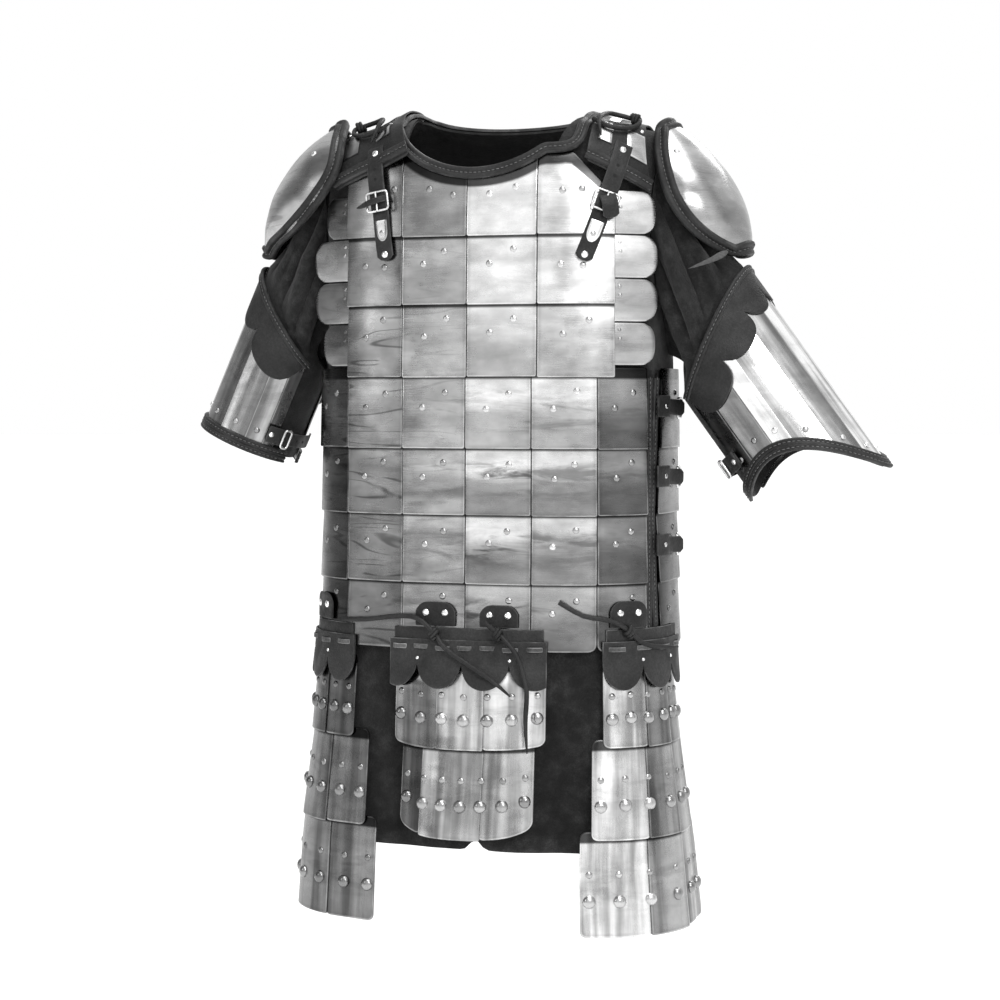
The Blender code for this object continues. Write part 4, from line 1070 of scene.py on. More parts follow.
rivets = new_work()
for n, foot in enumerate(ROW_FEET):
    columns = CHEST_COLUMNS if n < CHEST_ROWS else WAIST_COLUMNS
    work = new_work()
    for k, (left, right) in enumerate(zip(columns, columns[1:])):
        bright = (left + right) / 2 > 0
        tone = BREAST_TONES[n][k]
        tip = (PLATE_TIP if bright else -PLATE_TIP) * random.uniform(0.5, 1.0)
        # Painted reflection lines only on the wearer's right, and less painted foot shade there.
        look = dict(cells=(12, 12), corners=row_corners(n),
                    lines=0.0 if bright else 0.2 if n < 2 else 1.0 if left < -0.1 else 0.35,
                    dark_reflections=COLUMN_DARK_REFLECTIONS[k] if n > 2 else 0.25 if n == 2 and bright else 0.0,
                    foot_shade=ROW_FOOT_SHADE[n] * (1.0 if bright else 0.35))
        own_foot = foot + random.uniform(-FOOT_UNEVEN, FOOT_UNEVEN)
        place, wide, high = body_plate(work, "front", n, left, right, own_foot, tip, tone, **look)
        shown = high if n == 0 else high - PLATE_OVERLAP
        for a, b in ODD_PAIRS.get((n, k), PAIR):
            a, b = a + random.uniform(-STRAY, STRAY), b + random.uniform(-STRAY, STRAY)
            plate_rivet(rivets, place, wide * a, shown * (1 - b), tone)
    finish = SHADOWED_ROW_STEEL if n in SHADOWED_ROWS else ROW_STEEL
    ride(make_mesh(f"breast_row_{n + 1}_plates", work, finish), "steel", f"front_row_{n + 1}")
RIVET_STEEL = steel_finish("rivet_steel")
ride(make_mesh("breast_rivets", rivets, RIVET_STEEL, 60), "steel")

# ---------------------------------------------------------------- the back: the same rows
# The back is closed by seven rows of the same plates, six columns wide between the sleeves and eight
# below the armpits, reaching round to the side seams.

BACK_CHEST_HALF = 0.190
BACK_SIDE_HALF = 0.309
# How light the plate by the left side seam looks in each row, a painted shade that darkens the lower rows.
# The others follow no order.
BACK_EDGE_TONES = (0.60, 0.60, 0.60, 0.15, 0.17, 0.05, 0.03)
back_work, back_rivets = new_work(), new_work()
for n, foot in enumerate(ROW_FEET):
    half, count = (BACK_CHEST_HALF, 6) if n < CHEST_ROWS else (BACK_SIDE_HALF, 8)
    columns = spread(-half, half, count)
    for left, right in zip(columns, columns[1:]):
        tip = random.uniform(-PLATE_TIP, PLATE_TIP)
        tone = BACK_EDGE_TONES[n] if left == columns[0] else random.uniform(0.40, 0.75)
        own_foot = foot + random.uniform(-FOOT_UNEVEN, FOOT_UNEVEN)
        look = dict(cells=(8, 8), corners=row_corners(n), lines=random.choice((0.0, 0.5, 1.0)),
                    dark_reflections=random.choice((0.0, 0.6)), foot_shade=random.uniform(0.0, 0.4))
        place, wide, high = body_plate(back_work, "back", n, left, right, own_foot, tip, tone, **look)
        shown = high if n == 0 else high - PLATE_OVERLAP
        for a, b in PAIR:
            plate_rivet(back_rivets, place, wide * a, shown * (1 - b), tone)
ride(make_mesh("back_row_plates", back_work, ROW_STEEL), "steel", "back_plates")
ride(make_mesh("back_rivets", back_rivets, RIVET_STEEL, 60), "steel")

# ---------------------------------------------------------------- round-ended plates beside the breast
# Four D-shaped plates down each side of the chest, under the rows' edge, whose free ends stand off
# the body towards the armholes. Each has small rivets near its straight end.

PETAL_HEIGHT = 0.0478
PETAL_REACH = {1: 0.052, -1: 0.062}
PETAL_TOP = -0.0962
PETAL_GAP = 0.0014
# A plate's free end starts this far inside the breast's edge, and its flat end runs this far further in.
PETAL_UNDER = 0.008
PETAL_TUCK = 0.014
PETAL_SQUARENESS = 2.6
PETAL_HEAD = (0.0022, 0.0011)
PETAL_LIFT = BACKING_LIFT + LEATHER + 0.0004
# How light each one looks, a painted reflection lighter on the wearer's left, and how far it reaches against
# its neighbours, from the top.
PETAL_TONES = {1: (0.74, 0.92, 0.62, 0.54), -1: (0.20, 0.50, 0.28, 0.21)}
PETAL_SHARES = {1: (0.95, 1.0, 1.0, 0.95), -1: (0.62, 1.0, 0.98, 0.72)}
petal_rivets = new_work()
for side, name in ((1, "left"), (-1, "right")):
    work = new_work()
    edge = CHEST_COLUMNS[-1 if side > 0 else 0] - side * PETAL_UNDER
    for n, tone in enumerate(PETAL_TONES[side]):
        top = PETAL_TOP - PETAL_HEIGHT * n
        high = PETAL_HEIGHT - PETAL_GAP
        wide = PETAL_TUCK + PETAL_REACH[side] * PETAL_SHARES[side][n] + PETAL_UNDER

        def place(u, v, lift):
            z, away = top - high + v, u - PETAL_TUCK
            level = abs(2 * v / high - 1)
            if away <= 0:
                return skin("front", edge + side * away, z, PETAL_LIFT + lift)
            away *= 0.66 + 0.34 * arch(level, PETAL_SQUARENESS)
            base, along, _, out = skin_frame("front", edge, z)
            crown = 0.0016 * (1 - level ** 2)
            return base + out * (PETAL_LIFT - away * away * 2.2 + crown + lift) + along * side * away

        lay_sheet(work, place, wide, high, STEEL, cells=(14, 14), corners=(0.001, 0.001), tone=tone,
                  lines=0.3 if side < 0 else 0.0, dark_reflections=0.25 if side > 0 else 0.0, foot_shade=0.25)
        for v in (high * 0.62, high - 0.008):
            seat, out = stand_on(place, PETAL_TUCK + PETAL_UNDER + 0.007, v, STEEL)
            rivet(petal_rivets, seat, out, *PETAL_HEAD, tone * 0.7)
    ride(make_mesh(f"chest_side_plates_{name}_petals", work, PLATE_STEEL), "steel",
         f"chest_side_plates_{name}")
ride(make_mesh("petal_rivets", petal_rivets, RIVET_STEEL, 60), "steel")

# ---------------------------------------------------------------- bound and stitched edges
# A strip of leather is folded over each raw edge and stitched along its middle, which leaves two
# round ridges: round the neck first, then down the side edges of the front and back.

BOUND_LEATHER = leather_finish("bound_leather", 0.018)


def thread_finish():
    """Waxed linen thread."""
    made, tree, shader = new_finish("waxed_thread", (0.10, 0.10, 0.10), 0.6)
    wax = fade(tree, grain(tree, 300, 2), 0.3, 0.7, 0.07, 0.16)
    tree.links.new(grey(tree, wax), shader.inputs["Base Color"])
    bump(tree, shader, grain(tree, 1500, 2), 0.0003)
    return made


THREAD = thread_finish()
# A stitch's repeat, its length, its thread's radius and the sides that its thread is drawn with.
STITCH_PITCH, STITCH, STITCH_RADIUS, STITCH_SIDES = 0.0052, 0.0036, 0.0005, 5
binding_threads = bmesh.new()


def parted(seats):
    """The points and the outward directions of seats, as two lists."""
    return [p for p, _ in seats], [out for _, out in seats]


def march(centres, normals, closed):
    """Walks along a line: a (point, way along, outward) for each stitch."""
    if closed:
        centres, normals = centres + [centres[0]], normals + [normals[0]]
    steps, left = [], 0.0
    for a, b, m, n in zip(centres, centres[1:], normals, normals[1:]):
        length = (b - a).length
        while left <= length and length > 1e-6:
            share = left / length
            steps.append((a.lerp(b, share), (b - a).normalized(), m.lerp(n, share).normalized()))
            left += STITCH_PITCH
        left -= length
    return steps


def sweep(work, centres, normals, profile, closed):
    """A strip of one cross-section, given as (across, lift), along a line."""
    low, high = min(a for a, _ in profile), max(a for a, _ in profile)
    rings = []
    for centre, way, normal in zip(centres, ways_along(centres, closed), normals):
        across = way.cross(normal).normalized()
        ring = [work.verts.new(centre + across * a + normal * lift) for a, lift in profile]
        for vert, (a, _) in zip(ring, profile):
            mark(work, vert, ENDLESS / 2, a - low, ENDLESS, high - low)
        rings.append(ring)
    join_rings(work, rings, closed)
    if not closed:
        work.faces.new(rings[0])
        work.faces.new(rings[-1][::-1])


def stitch_line(centres, normals, lift, closed):
    """A row of stitches along a line, whose ends dip into the leather."""
    for point, along, normal in march(centres, normals, closed):
        across = along.cross(normal).normalized()
        rings = []
        for share, size, dip in ((0.0, 0.35, 0.0004), (0.2, 1.0, 0.0), (0.8, 1.0, 0.0), (1.0, 0.35, 0.0004)):
            middle = point + normal * (lift - dip) + along * STITCH * share
            rings.append(ring_of(binding_threads, middle, across, normal, STITCH_RADIUS * size, STITCH_SIDES))
        join_rings(binding_threads, rings)
        binding_threads.faces.new(rings[0][::-1])
        binding_threads.faces.new(rings[-1])


def ridged(width, height):
    """The cross-section of a bound edge: two ridges either side of the stitched groove."""
    ridge = ((1.0, -0.10), (1.02, 0.45), (0.86, 0.86), (0.60, 1.0), (0.30, 0.90), (0.10, 0.62))
    one_side = [(width / 2 * a, height * b) for a, b in ridge]
    return [(-a, b) for a, b in one_side] + one_side[::-1]


def bind(work, centres, normals, width, height, groove, closed=False):
    """A bound and stitched edge along a line. Its stitches lie in the groove at a height over the line."""
    sweep(work, centres, normals, ridged(width, height), closed)
    stitch_line(centres, normals, groove, closed)


def neck_edge(margin, lift):
    """Round the neck from the wearer's right: points and normals a margin outside the neck edge."""
    centres, normals = [], []
    for face, steps in (("front", 110), ("back", 60)):
        turn = 1 if face == "front" else -1
        edge, lengths = [], [0.0]
        for u in spread(-1.0, 1.0, 300):
            s = neck_half(u * turn) * math.sin(math.pi / 2 * u)
            top = shoulder_top(s * turn) - 0.0004
            edge.append(Vector((s, min(path_height(s * turn, neckline(face, s * turn)), top), 0)))
        for start, end in zip(edge, edge[1:]):
            lengths.append(lengths[-1] + (end - start).length)
        line, k = [], 0
        for distance in spread(0.0, lengths[-1], steps):
            while k < len(edge) - 2 and lengths[k + 1] < distance:
                k += 1
            line.append(edge[k].lerp(edge[k + 1], (distance - lengths[k]) / (lengths[k + 1] - lengths[k])))
        for _ in range(2):
            line[1:-1] = [(a + b * 2 + c) / 4 for a, b, c in zip(line, line[1:], line[2:])]
        for i, p in enumerate(line[:-1]):
            way = Vector((0, -1, 0)) if i == 0 else (line[i + 1] - line[i - 1]).normalized()
            s, path = p.x + way.y * margin, p.y - way.x * margin
            base, _, _, out = skin_frame(face, s, path)
            centres.append(base + out * (lift - settle(face, s, path)))
            normals.append(out)
    return centres, normals


BAND_HEIGHT, BAND_GROOVE = 0.0046, 0.0034
NECK_BAND = 0.0125
centres, normals = neck_edge(NECK_BAND / 2 - 0.001, PLATE_LIFT + 0.0022)
for _ in range(3):
    following = normals[1:] + normals[:1]
    normals = [(normals[i - 1] + n + following[i]).normalized() for i, n in enumerate(normals)]
work = new_work()
bind(work, centres, normals, NECK_BAND, BAND_HEIGHT, BAND_GROOVE, closed=True)
ride(make_mesh("neck_binding_roll", work, BOUND_LEATHER, 60), "leather", "neck_binding")

# Down the closed sides: the front panel's two edges and the back panel's two.
SIDE_EDGES = (("front", 0.2045), ("front", -0.2125), ("back", 0.3135), ("back", -0.3135))
SIDE_EDGE_FOOT, SIDE_EDGE_TOP = -0.604, -0.300
SIDE_BAND = 0.009
work = new_work()
for face, s in SIDE_EDGES:
    seats = [seat_on(face, s, z, BACKING_LIFT + 0.0006) for z in spread(SIDE_EDGE_FOOT, SIDE_EDGE_TOP, 40)]
    bind(work, *parted(seats), SIDE_BAND, BAND_HEIGHT, BAND_GROOVE)
ride(make_mesh("side_edge_bindings", work, BOUND_LEATHER, 60), "leather")

# ---------------------------------------------------------------- yokes
# Broad leather pieces over the shoulders carry the front and back between them. Their front edges
# slope down towards the arm and are bound, and small riveted plates stiffen them.

YOKE_LIFT = OVER_PLATES - 0.0006
YOKE_LEATHER = leather_finish("yoke_leather", 0.013)
# A yoke's inner and outer edges at the shoulder's top, and the inner and outer ends, as distance from
# the centre and height, of its front foot on either side and of its back foot.
YOKE_TOP = {1: (0.128, 0.186), -1: (0.096, 0.172)}
YOKE_FEET = {1: ((0.128, -0.068), (0.200, -0.099)), -1: ((0.064, -0.060), (0.160, -0.090))}
YOKE_BACK = {1: ((0.128, -0.052), (0.186, -0.070)), -1: ((0.109, -0.052), (0.172, -0.070))}
YOKE_LONG = 0.170
# How far the wearer's right yoke rises over the bound neck edge, and over what share of its width.
YOKE_OVER_NECK = 0.0058
YOKE_RISE = 0.34
YOKE_BAND, YOKE_BAND_HEIGHT, YOKE_GROOVE = 0.0135, 0.0044, 0.0032
# The small plates on a yoke, on both sides of where the shoulder strap crosses: the shares of its width
# and then of its length that each takes.
YOKE_PLATES = ((0.14, 0.36, 0.13, 0.22), (0.62, 0.97, 0.115, 0.255), (0.20, 0.42, 0.33, 0.42),
               (0.62, 0.92, 0.78, 0.90), (0.14, 0.44, 0.80, 0.90))
SMALL_PLATE = 0.0011
YOKE_HEAD = (0.0026, 0.0014)


def yoke_place(side, a, b, lift):
    """A point of a yoke: a runs from the neck to the arm, b from the front foot over to the back foot."""
    face, share, ends = ("front", b * 2, YOKE_FEET) if b <= 0.5 else ("back", 2 - b * 2, YOKE_BACK)
    inner, outer = ends[side]
    foot, low, top = lerp(inner[0], outer[0], a), lerp(inner[1], outer[1], a), lerp(*YOKE_TOP[side], a)
    s = (top + (foot - top) * (1 - share) ** 2.2) * side * (1 if face == "front" else -1)
    start = path_height(section_point("front", foot, 0.0)[0], low)
    path = lerp(start, shoulder_top(section_point("front", top, 0.0)[0]), share)
    over = YOKE_OVER_NECK * max(0.0, 1 - a / YOKE_RISE) ** 0.7 if side < 0 else 0.0
    return skin(face, s, path, YOKE_LIFT + over + lift - settle(face, s, path))


yoke_plates, yoke_rivets, bindings = new_work(), new_work(), new_work()
for side, name in ((1, "left"), (-1, "right")):
    wide = YOKE_FEET[side][1][0] - YOKE_FEET[side][0][0]
    work = new_work()
    lay_sheet(work, lambda u, v, lift: yoke_place(side, u / wide, v / YOKE_LONG, lift), wide, YOKE_LONG,
              LEATHER, cells=(10, 34), corners=(0.003, 0.003))
    ride(make_mesh(f"yoke_{name}_leather", work, YOKE_LEATHER), "leather", f"yoke_{name}")
    for b in (0.035, 0.965):
        seats = [stand_on(yoke_place, side, a, b, LEATHER - 0.0006) for a in spread(0.0, 1.0, 24)]
        bind(bindings, *parted(seats), YOKE_BAND, YOKE_BAND_HEIGHT, YOKE_GROOVE)
    for start, end, low, high in YOKE_PLATES:

        def on_yoke(u, v, lift):
            return yoke_place(side, start + u / wide, low + v / YOKE_LONG, LEATHER + 0.0002 + lift)

        # The plates on the wearer's left are lighter: painted reflection.
        lay_sheet(yoke_plates, on_yoke, (end - start) * wide, (high - low) * YOKE_LONG, SMALL_PLATE,
                  cells=(4, 3), corners=(0.001, 0.001), tone=0.62 if side > 0 else 0.45)
        for a in (start + 0.06, end - 0.06):
            seat, out = stand_on(yoke_place, side, a, high + 0.03, LEATHER)
            rivet(yoke_rivets, seat, out, *YOKE_HEAD)
ride(make_mesh("yoke_edge_bindings", bindings, BOUND_LEATHER, 60), "leather")
ride(make_mesh("yoke_small_plates", yoke_plates, PLATE_STEEL), "steel")
ride(make_mesh("yoke_rivets", yoke_rivets, RIVET_STEEL, 60), "steel")

# ---------------------------------------------------------------- spaulders
# A leaf-shaped cap of raised steel over each shoulder point, dished to a tip, with a thick bound
# leather edge all round and a rivet by its front corner where the shoulder thong is tied.

SPAULDER_STEEL = 0.0015
SPAULDER_BAND, SPAULDER_BAND_HEIGHT, SPAULDER_GROOVE = 0.0165, 0.0066, 0.0048
SPAULDER_HEAD = (0.0036, 0.0020)
# Each shoulder cap from its top to its tip: middle line (x, z), front edge and back edge (x, y, z).
SPAULDERS = {
    1: (((0.2035, -0.0120), (0.1960, -0.0240, -0.0200), (0.1960, 0.0240, -0.0200)),
        ((0.2340, -0.0360), (0.1975, -0.0440, -0.0430), (0.2010, 0.0440, -0.0430)),
        ((0.2580, -0.0610), (0.2050, -0.0610, -0.0700), (0.2080, 0.0610, -0.0700)),
        ((0.2765, -0.0880), (0.2180, -0.0720, -0.1030), (0.2200, 0.0720, -0.1030)),
        ((0.2875, -0.1150), (0.2360, -0.0680, -0.1300), (0.2370, 0.0680, -0.1300)),
        ((0.2925, -0.1400), (0.2575, -0.0480, -0.1490), (0.2580, 0.0480, -0.1490)),
        ((0.2925, -0.1570), (0.2785, -0.0220, -0.1590), (0.2785, 0.0220, -0.1590))),
    -1: (((0.1960, -0.0080), (0.1770, -0.0390, -0.0040), (0.1915, 0.0240, -0.0200)),
         ((0.2280, -0.0325), (0.1640, -0.0880, -0.0330), (0.2000, 0.0440, -0.0435)),
         ((0.2530, -0.0590), (0.1620, -0.1080, -0.0650), (0.2045, 0.0610, -0.0700)),
         ((0.2710, -0.0870), (0.1860, -0.1070, -0.0990), (0.2150, 0.0720, -0.1030)),
         ((0.2810, -0.1140), (0.2240, -0.0830, -0.1270), (0.2320, 0.0680, -0.1290)),
         ((0.2870, -0.1350), (0.2560, -0.0480, -0.1380), (0.2550, 0.0455, -0.1390)),
         ((0.2895, -0.1500), (0.2775, -0.0235, -0.1525), (0.2770, 0.0235, -0.1530))),
}
CAP_STEEL = steel_finish("cap_steel")
cap_rivets = new_work()


def eased(line):
    """A closed line with each point drawn halfway towards its neighbours."""
    neighbours = zip(line[-1:] + line, line, line[1:] + line[:1])
    return [(before + p * 2 + after) / 4 for before, p, after in neighbours]


for side, name in ((1, "left"), (-1, "right")):
    spine = smooth_line([Vector((x, 0.0, z)) for (x, z), _, _ in SPAULDERS[side]], 5)
    front = smooth_line([Vector(edge) for _, edge, _ in SPAULDERS[side]], 5)
    back = smooth_line([Vector(edge) for _, _, edge in SPAULDERS[side]], 5)
    # Each row is an arch from the back edge over the middle line to the front edge.
    turns = spread(-90, 90, 36)
    under = []
    for top, front_edge, back_edge in zip(spine, front, back):
        row = []
        for turn in turns:
            edge = front_edge if turn > 0 else back_edge
            heart = Vector((edge.x, 0.0, edge.z))
            c, s = math.cos(math.radians(turn)), abs(math.sin(math.radians(turn)))
            p = heart + (top - heart) * c + Vector((0, edge.y, 0)) * s
            row.append(Vector((p.x * side, p.y, p.z)))
        under.append(row)
    outward = outs_of(under, lambda row: Vector((side * 0.20, 0, -0.16)))
    over = [[p + n * (SPAULDER_STEEL + rumple(p, 0.030, 0.0005)) for p, n in zip(row, outs)]
            for row, outs in zip(under, outward)]
    work = new_work()
    join_grids(work, under, over)
    seed = random.uniform(0, 40)
    # The caps' colour carries painted reflection and painted shade: the left cap is lighter, the right has
    # painted reflection lines, and both darken towards the tip, the left more.
    tone, lines, foot_shade = (0.56, 0.0, 0.8) if side > 0 else (0.42, 0.5, 0.2)
    for i, vert in enumerate(work.verts):
        down = (i // len(turns) % len(under)) / (len(under) - 1)
        mark(work, vert, ENDLESS / 2, 1.7 - 1.4 * down, ENDLESS, ENDLESS, tone, lines, 0.3, foot_shade, seed)
    ride(make_mesh(f"spaulder_{name}_cap", work, CAP_STEEL), "steel", f"spaulder_{name}")
    last, foot = len(turns) - 1, len(under) - 1
    # The bound edge runs all round, just inside the steel's edge.
    rim = [(0, c) for c in range(last)] + [(r, last) for r in range(foot)]
    rim += [(foot, c) for c in range(last, 0, -1)] + [(r, 0) for r in range(foot, 0, -1)]
    line, outs = [], []
    for r, c in rim:
        inwards = under[min(max(r, 3), foot - 3)][min(max(c, 3), last - 3)] - under[r][c]
        line.append(under[r][c] + inwards.normalized() * 0.0030 - outward[r][c] * 0.0016)
        outs.append(outward[r][c])
    for _ in range(3):
        line, outs = eased(line), [n.normalized() for n in eased(outs)]
    work = new_work()
    bind(work, line, outs, SPAULDER_BAND, SPAULDER_BAND_HEIGHT, SPAULDER_GROOVE, closed=True)
    ride(make_mesh(f"spaulder_{name}_bound_edge", work, BOUND_LEATHER, 60), "leather",
         f"spaulder_binding_{name}")
    for r, c in ((7, 31), (4, 5)):
        rivet(cap_rivets, over[r][c], outward[r][c], *SPAULDER_HEAD, 0.8)
ride(make_mesh("spaulder_rivets", cap_rivets, RIVET_STEEL, 60), "steel")

# The pointed leather end of a tie hangs out from under the left cap, in front of the sleeve.
TIE_END = ((0.2790, -0.0600, -0.1615), (0.2660, -0.0790, -0.1715), (0.2405, -0.0850, -0.1815))
TIE_HALF_WIDTH = 0.0042
TIE_THICK = Vector((0, -0.0016, 0))
TIE_CROWN = Vector((0, -0.0006, 0))
line = smooth_line([Vector(p) for p in TIE_END], 5)
under, over = [], []
for p, along, share in zip(line, ways_along(line), spread(0.0, 1.0, len(line) - 1)):
    half = TIE_HALF_WIDTH * min(1.0, 0.3 + 3 * share) * (1.02 - share ** 1.6)
    across = Vector((0, -1, 0)).cross(along).normalized() * half
    under.append([p - across, p, p + across])
    over.append([q + TIE_THICK for q in (p - across, p + TIE_CROWN, p + across)])
work = new_work()
join_grids(work, under, over)
for vert in work.verts:
    mark(work, vert, ENDLESS / 2, ENDLESS / 2, ENDLESS, ENDLESS)
ride(make_mesh("cap_tie_tip", work, leather_finish("pale_leather", 0.060, edges=False)), "leather")

# ---------------------------------------------------------------- arm guards
# Narrow steel splints laid side by side round the upper arm, each edge over its neighbour. A scalloped
# leather cap holds their tops, a bound leather hem their feet, and a buckled strap closes the inside.

GUARD_LIFT = 0.0012
OVER_SPLINTS = GUARD_LIFT + STEEL + 0.0014
# Each splint reaches this many degrees under its neighbour.
SPLINT_UNDER = 3.5
GUARD_BAND = 0.015
GUARD_HEAD = (0.0036, 0.0019)
# The hem is two ridged bands, at these heights over its foot.
HEM_BANDS = (0.0038, 0.0113)
HEM_BAND, GUARD_EDGE, GUARD_BAND_HEIGHT, GUARD_GROOVE = 0.0078, 0.0085, 0.0034, 0.0026
# A scallop of the cap: its depth, the share of it above the cusps and how square its foot is.
SCALLOP_DEPTH = 0.048
SCALLOP_CUSP = 0.40
SCALLOP_SQUARENESS = 2.4
SPLINT_STEEL = steel_finish("splint_steel", upright=True)
GUARD_LEATHER = leather_finish("guard_leather", 0.017)
# How light each splint looks, in order round the arm: painted reflection and painted shade, darkest at the
# last splints towards the inside. The rivets' tone follows it.
SPLINT_TONES = {"left": (0.50, 0.60, 0.70, 0.96, 0.98, 0.90, 0.62, 0.70, 0.98, 0.20, 0.13),
                "right": (0.40, 0.36, 0.34, 0.42, 0.55, 0.68, 0.34, 0.38, 0.30, 0.16)}


def arm_seat(arm, turn, up, lift):
    return stand_on(arm_point, arm, turn, up, lift)


def below_top(arm, turn, share, lift):
    """A point of the scalloped cap: share runs from the scallops' foot, 0, up to the guard's top edge, 1.
    The scallops hang square to the slanting edge."""
    start, end = arm["splints"][0], arm["splints"][-1]
    radius = (arm["out"] + arm["fore"]) / 2
    lobe = arm["scallops"] * (turn - start) / (end - start) % 1.0
    deep = SCALLOP_CUSP + (1 - SCALLOP_CUSP) * arch(2 * lobe - 1, SCALLOP_SQUARENESS)
    fall = SCALLOP_DEPTH * deep * (1 - share)
    slope = -arm["top"][1] * math.sin(math.radians(turn)) / radius
    steep = math.hypot(slope, 1.0)
    aside = math.degrees(fall * slope / steep / radius)
    return arm_point(arm, turn + aside, guard_top(arm, turn) - fall / steep, lift)


guard_rivets = new_work()
for name, arm in ARMS.items():
    side, splints = arm["side"], arm["splints"]
    first, last = splints[0], splints[-1]
    girth = 2 * math.pi * (arm["out"] + arm["fore"]) / 2
    work = new_work()
    for k, (start, end) in enumerate(zip(splints, splints[1:])):
        reach, middle, tone = end - start + SPLINT_UNDER, (start + end) / 2, SPLINT_TONES[name][k]
        wide = girth * reach / 360
        long = guard_top(arm, middle) - guard_foot(arm, middle)

        def place(u, v, lift):
            share = u / wide if side < 0 else 1 - u / wide
            turn = min(start + reach * share, last)
            low, high = guard_foot(arm, turn) + 0.003, guard_top(arm, turn) - 0.003
            shingle = 0.0013 * (1 - share)
            hollow = 0.00035 * (1 - (2 * share - 1) ** 2)
            return arm_point(arm, turn, lerp(low, high, v / long), GUARD_LIFT + shingle - hollow + lift)

        lay_sheet(work, place, wide, long, STEEL, cells=(8, 16), corners=(0.0015, 0.0015), tone=tone,
                  dark_reflections=0.2)
        above = guard_foot(arm, middle) + GUARD_BAND + 0.013
        seat, out = arm_seat(arm, middle, above, GUARD_LIFT + STEEL + 0.0008)
        rivet(guard_rivets, seat, out, *GUARD_HEAD, 0.25 + tone * 0.5)
    ride(make_mesh(f"guard_{name}_splints", work, SPLINT_STEEL), "steel", f"guard_splints_{name}")

    turns = spread(first, last, 90)
    work = new_work()
    for up in HEM_BANDS:
        seats = [arm_seat(arm, t, guard_foot(arm, t) + up, OVER_SPLINTS - 0.0004)
                 for t in turns + spread(last, last + 20, 6)[1:]]
        bind(work, *parted(seats), HEM_BAND, GUARD_BAND_HEIGHT, GUARD_GROOVE)
    ride(make_mesh(f"guard_{name}_hem_band", work, BOUND_LEATHER, 60), "leather", f"guard_hem_{name}")

    work = new_work()
    round_top = girth * (last - first) / 360

    def cap_place(u, v, lift):
        share = u / round_top if side < 0 else 1 - u / round_top
        return below_top(arm, lerp(first, last, share), v / SCALLOP_DEPTH, OVER_SPLINTS + lift)

    lay_sheet(work, cap_place, round_top, SCALLOP_DEPTH, LEATHER, cells=(arm["scallops"] * 18, 8),
              corners=(0.0, 0.0))
    seats = [arm_seat(arm, t, guard_top(arm, t) - 0.0035, OVER_SPLINTS + LEATHER - 0.0012) for t in turns]
    bind(work, *parted(seats), GUARD_EDGE, GUARD_BAND_HEIGHT, GUARD_GROOVE)
    ride(make_mesh(f"guard_{name}_scallops", work, GUARD_LEATHER, 50), "leather", f"guard_scallops_{name}")

# ---------------------------------------------------------------- straps and buckles
# Plain straps 16 to 20 mm wide, each through a wire buckle on a riveted chape: one down from each yoke to
# the second row, three at the wearer's left side, and one on each guard, whose buckle has no tongue.

STRAP_LEATHER = leather_finish("strap_leather", 0.018)
BUCKLE_STEEL = steel_finish("buckle_steel")
BLACK_HOLE, _, _ = new_finish("punched_hole", (0.003, 0.003, 0.003), 0.9)
STRAP_WIDTH = 0.020
SIDE_STRAP_WIDTH, SIDE_CHAPE_WIDTH = 0.018, 0.024
GUARD_STRAP_WIDTH, GUARD_CHAPE_WIDTH = 0.016, 0.020
# Each kind of buckle, across its strap and along it.
SHOULDER_BUCKLE, SIDE_BUCKLE, GUARD_BUCKLE = (0.027, 0.021), (0.023, 0.015), (0.022, 0.009)
BUCKLE_CORNER = 0.0035
WIRE = 0.0014
STRAP_HEAD, SLOT_HEAD = (0.0042, 0.0022), (0.0032, 0.0018)
SIDE_STRAP_HEAD, GUARD_STRAP_HEAD = (0.0030, 0.0016), (0.0034, 0.0018)
HOLE_SIDES, WIRE_SIDES = 12, 8
strap_rivets, punched = new_work(), bmesh.new()


def strap(work, centres, normals, width, thick, lift, tip=0.0, tone=0.5):
    """A strap along points, with its long edges softened. A tip rounds its far end over that length."""
    lengths = [0.0]
    for a, b in zip(centres, centres[1:]):
        lengths.append(lengths[-1] + (b - a).length)
    whole = lengths[-1]

    def place(u, v, off):
        k = max(i for i in range(len(lengths) - 1) if lengths[i] <= u + 1e-9)
        share = (u - lengths[k]) / (lengths[k + 1] - lengths[k])
        along = (centres[k + 1] - centres[k]).normalized()
        normal = normals[k].lerp(normals[k + 1], share).normalized()
        narrow = arch(max(0.0, 1 - (whole - u) / tip)) if tip else 1.0
        across = normal.cross(along).normalized() * (v - width / 2) * narrow
        return centres[k].lerp(centres[k + 1], share) + across + normal * (lift + off)

    cells = (max(10, int(whole / 0.004)), 5)
    lay_sheet(work, place, whole, width, thick, cells=cells, corners=(0.001, 0.001), tone=tone)


def hole(seat, out, radius=0.0019):
    """A punched hole, as a sunk disc in a strap painted near black for the shade inside it."""
    side = out.orthogonal().normalized()
    ring = ring_of(punched, seat + out * 0.00012, side, out.cross(side), radius, HOLE_SIDES)
    low = [punched.verts.new(v.co - out * 0.0006) for v in ring]
    punched.faces.new(ring)
    punched.faces.new(low[::-1])
    join_rings(punched, [low, ring])


def wire_loop(work, points, radius, closed=True):
    """A round wire along points."""
    rings, side = [], None
    for p, along in zip(points, ways_along(points, closed)):
        side = (side - along * side.dot(along) if side else along.orthogonal()).normalized()
        rings.append(ring_of(work, p, side, along.cross(side), radius, WIRE_SIDES))
        for vert in rings[-1]:
            mark(work, vert, SMALL / 2, SMALL / 2, SMALL, SMALL, 0.82)
    join_rings(work, rings, closed)
    if not closed:
        work.faces.new(rings[0][::-1])
        work.faces.new(rings[-1])


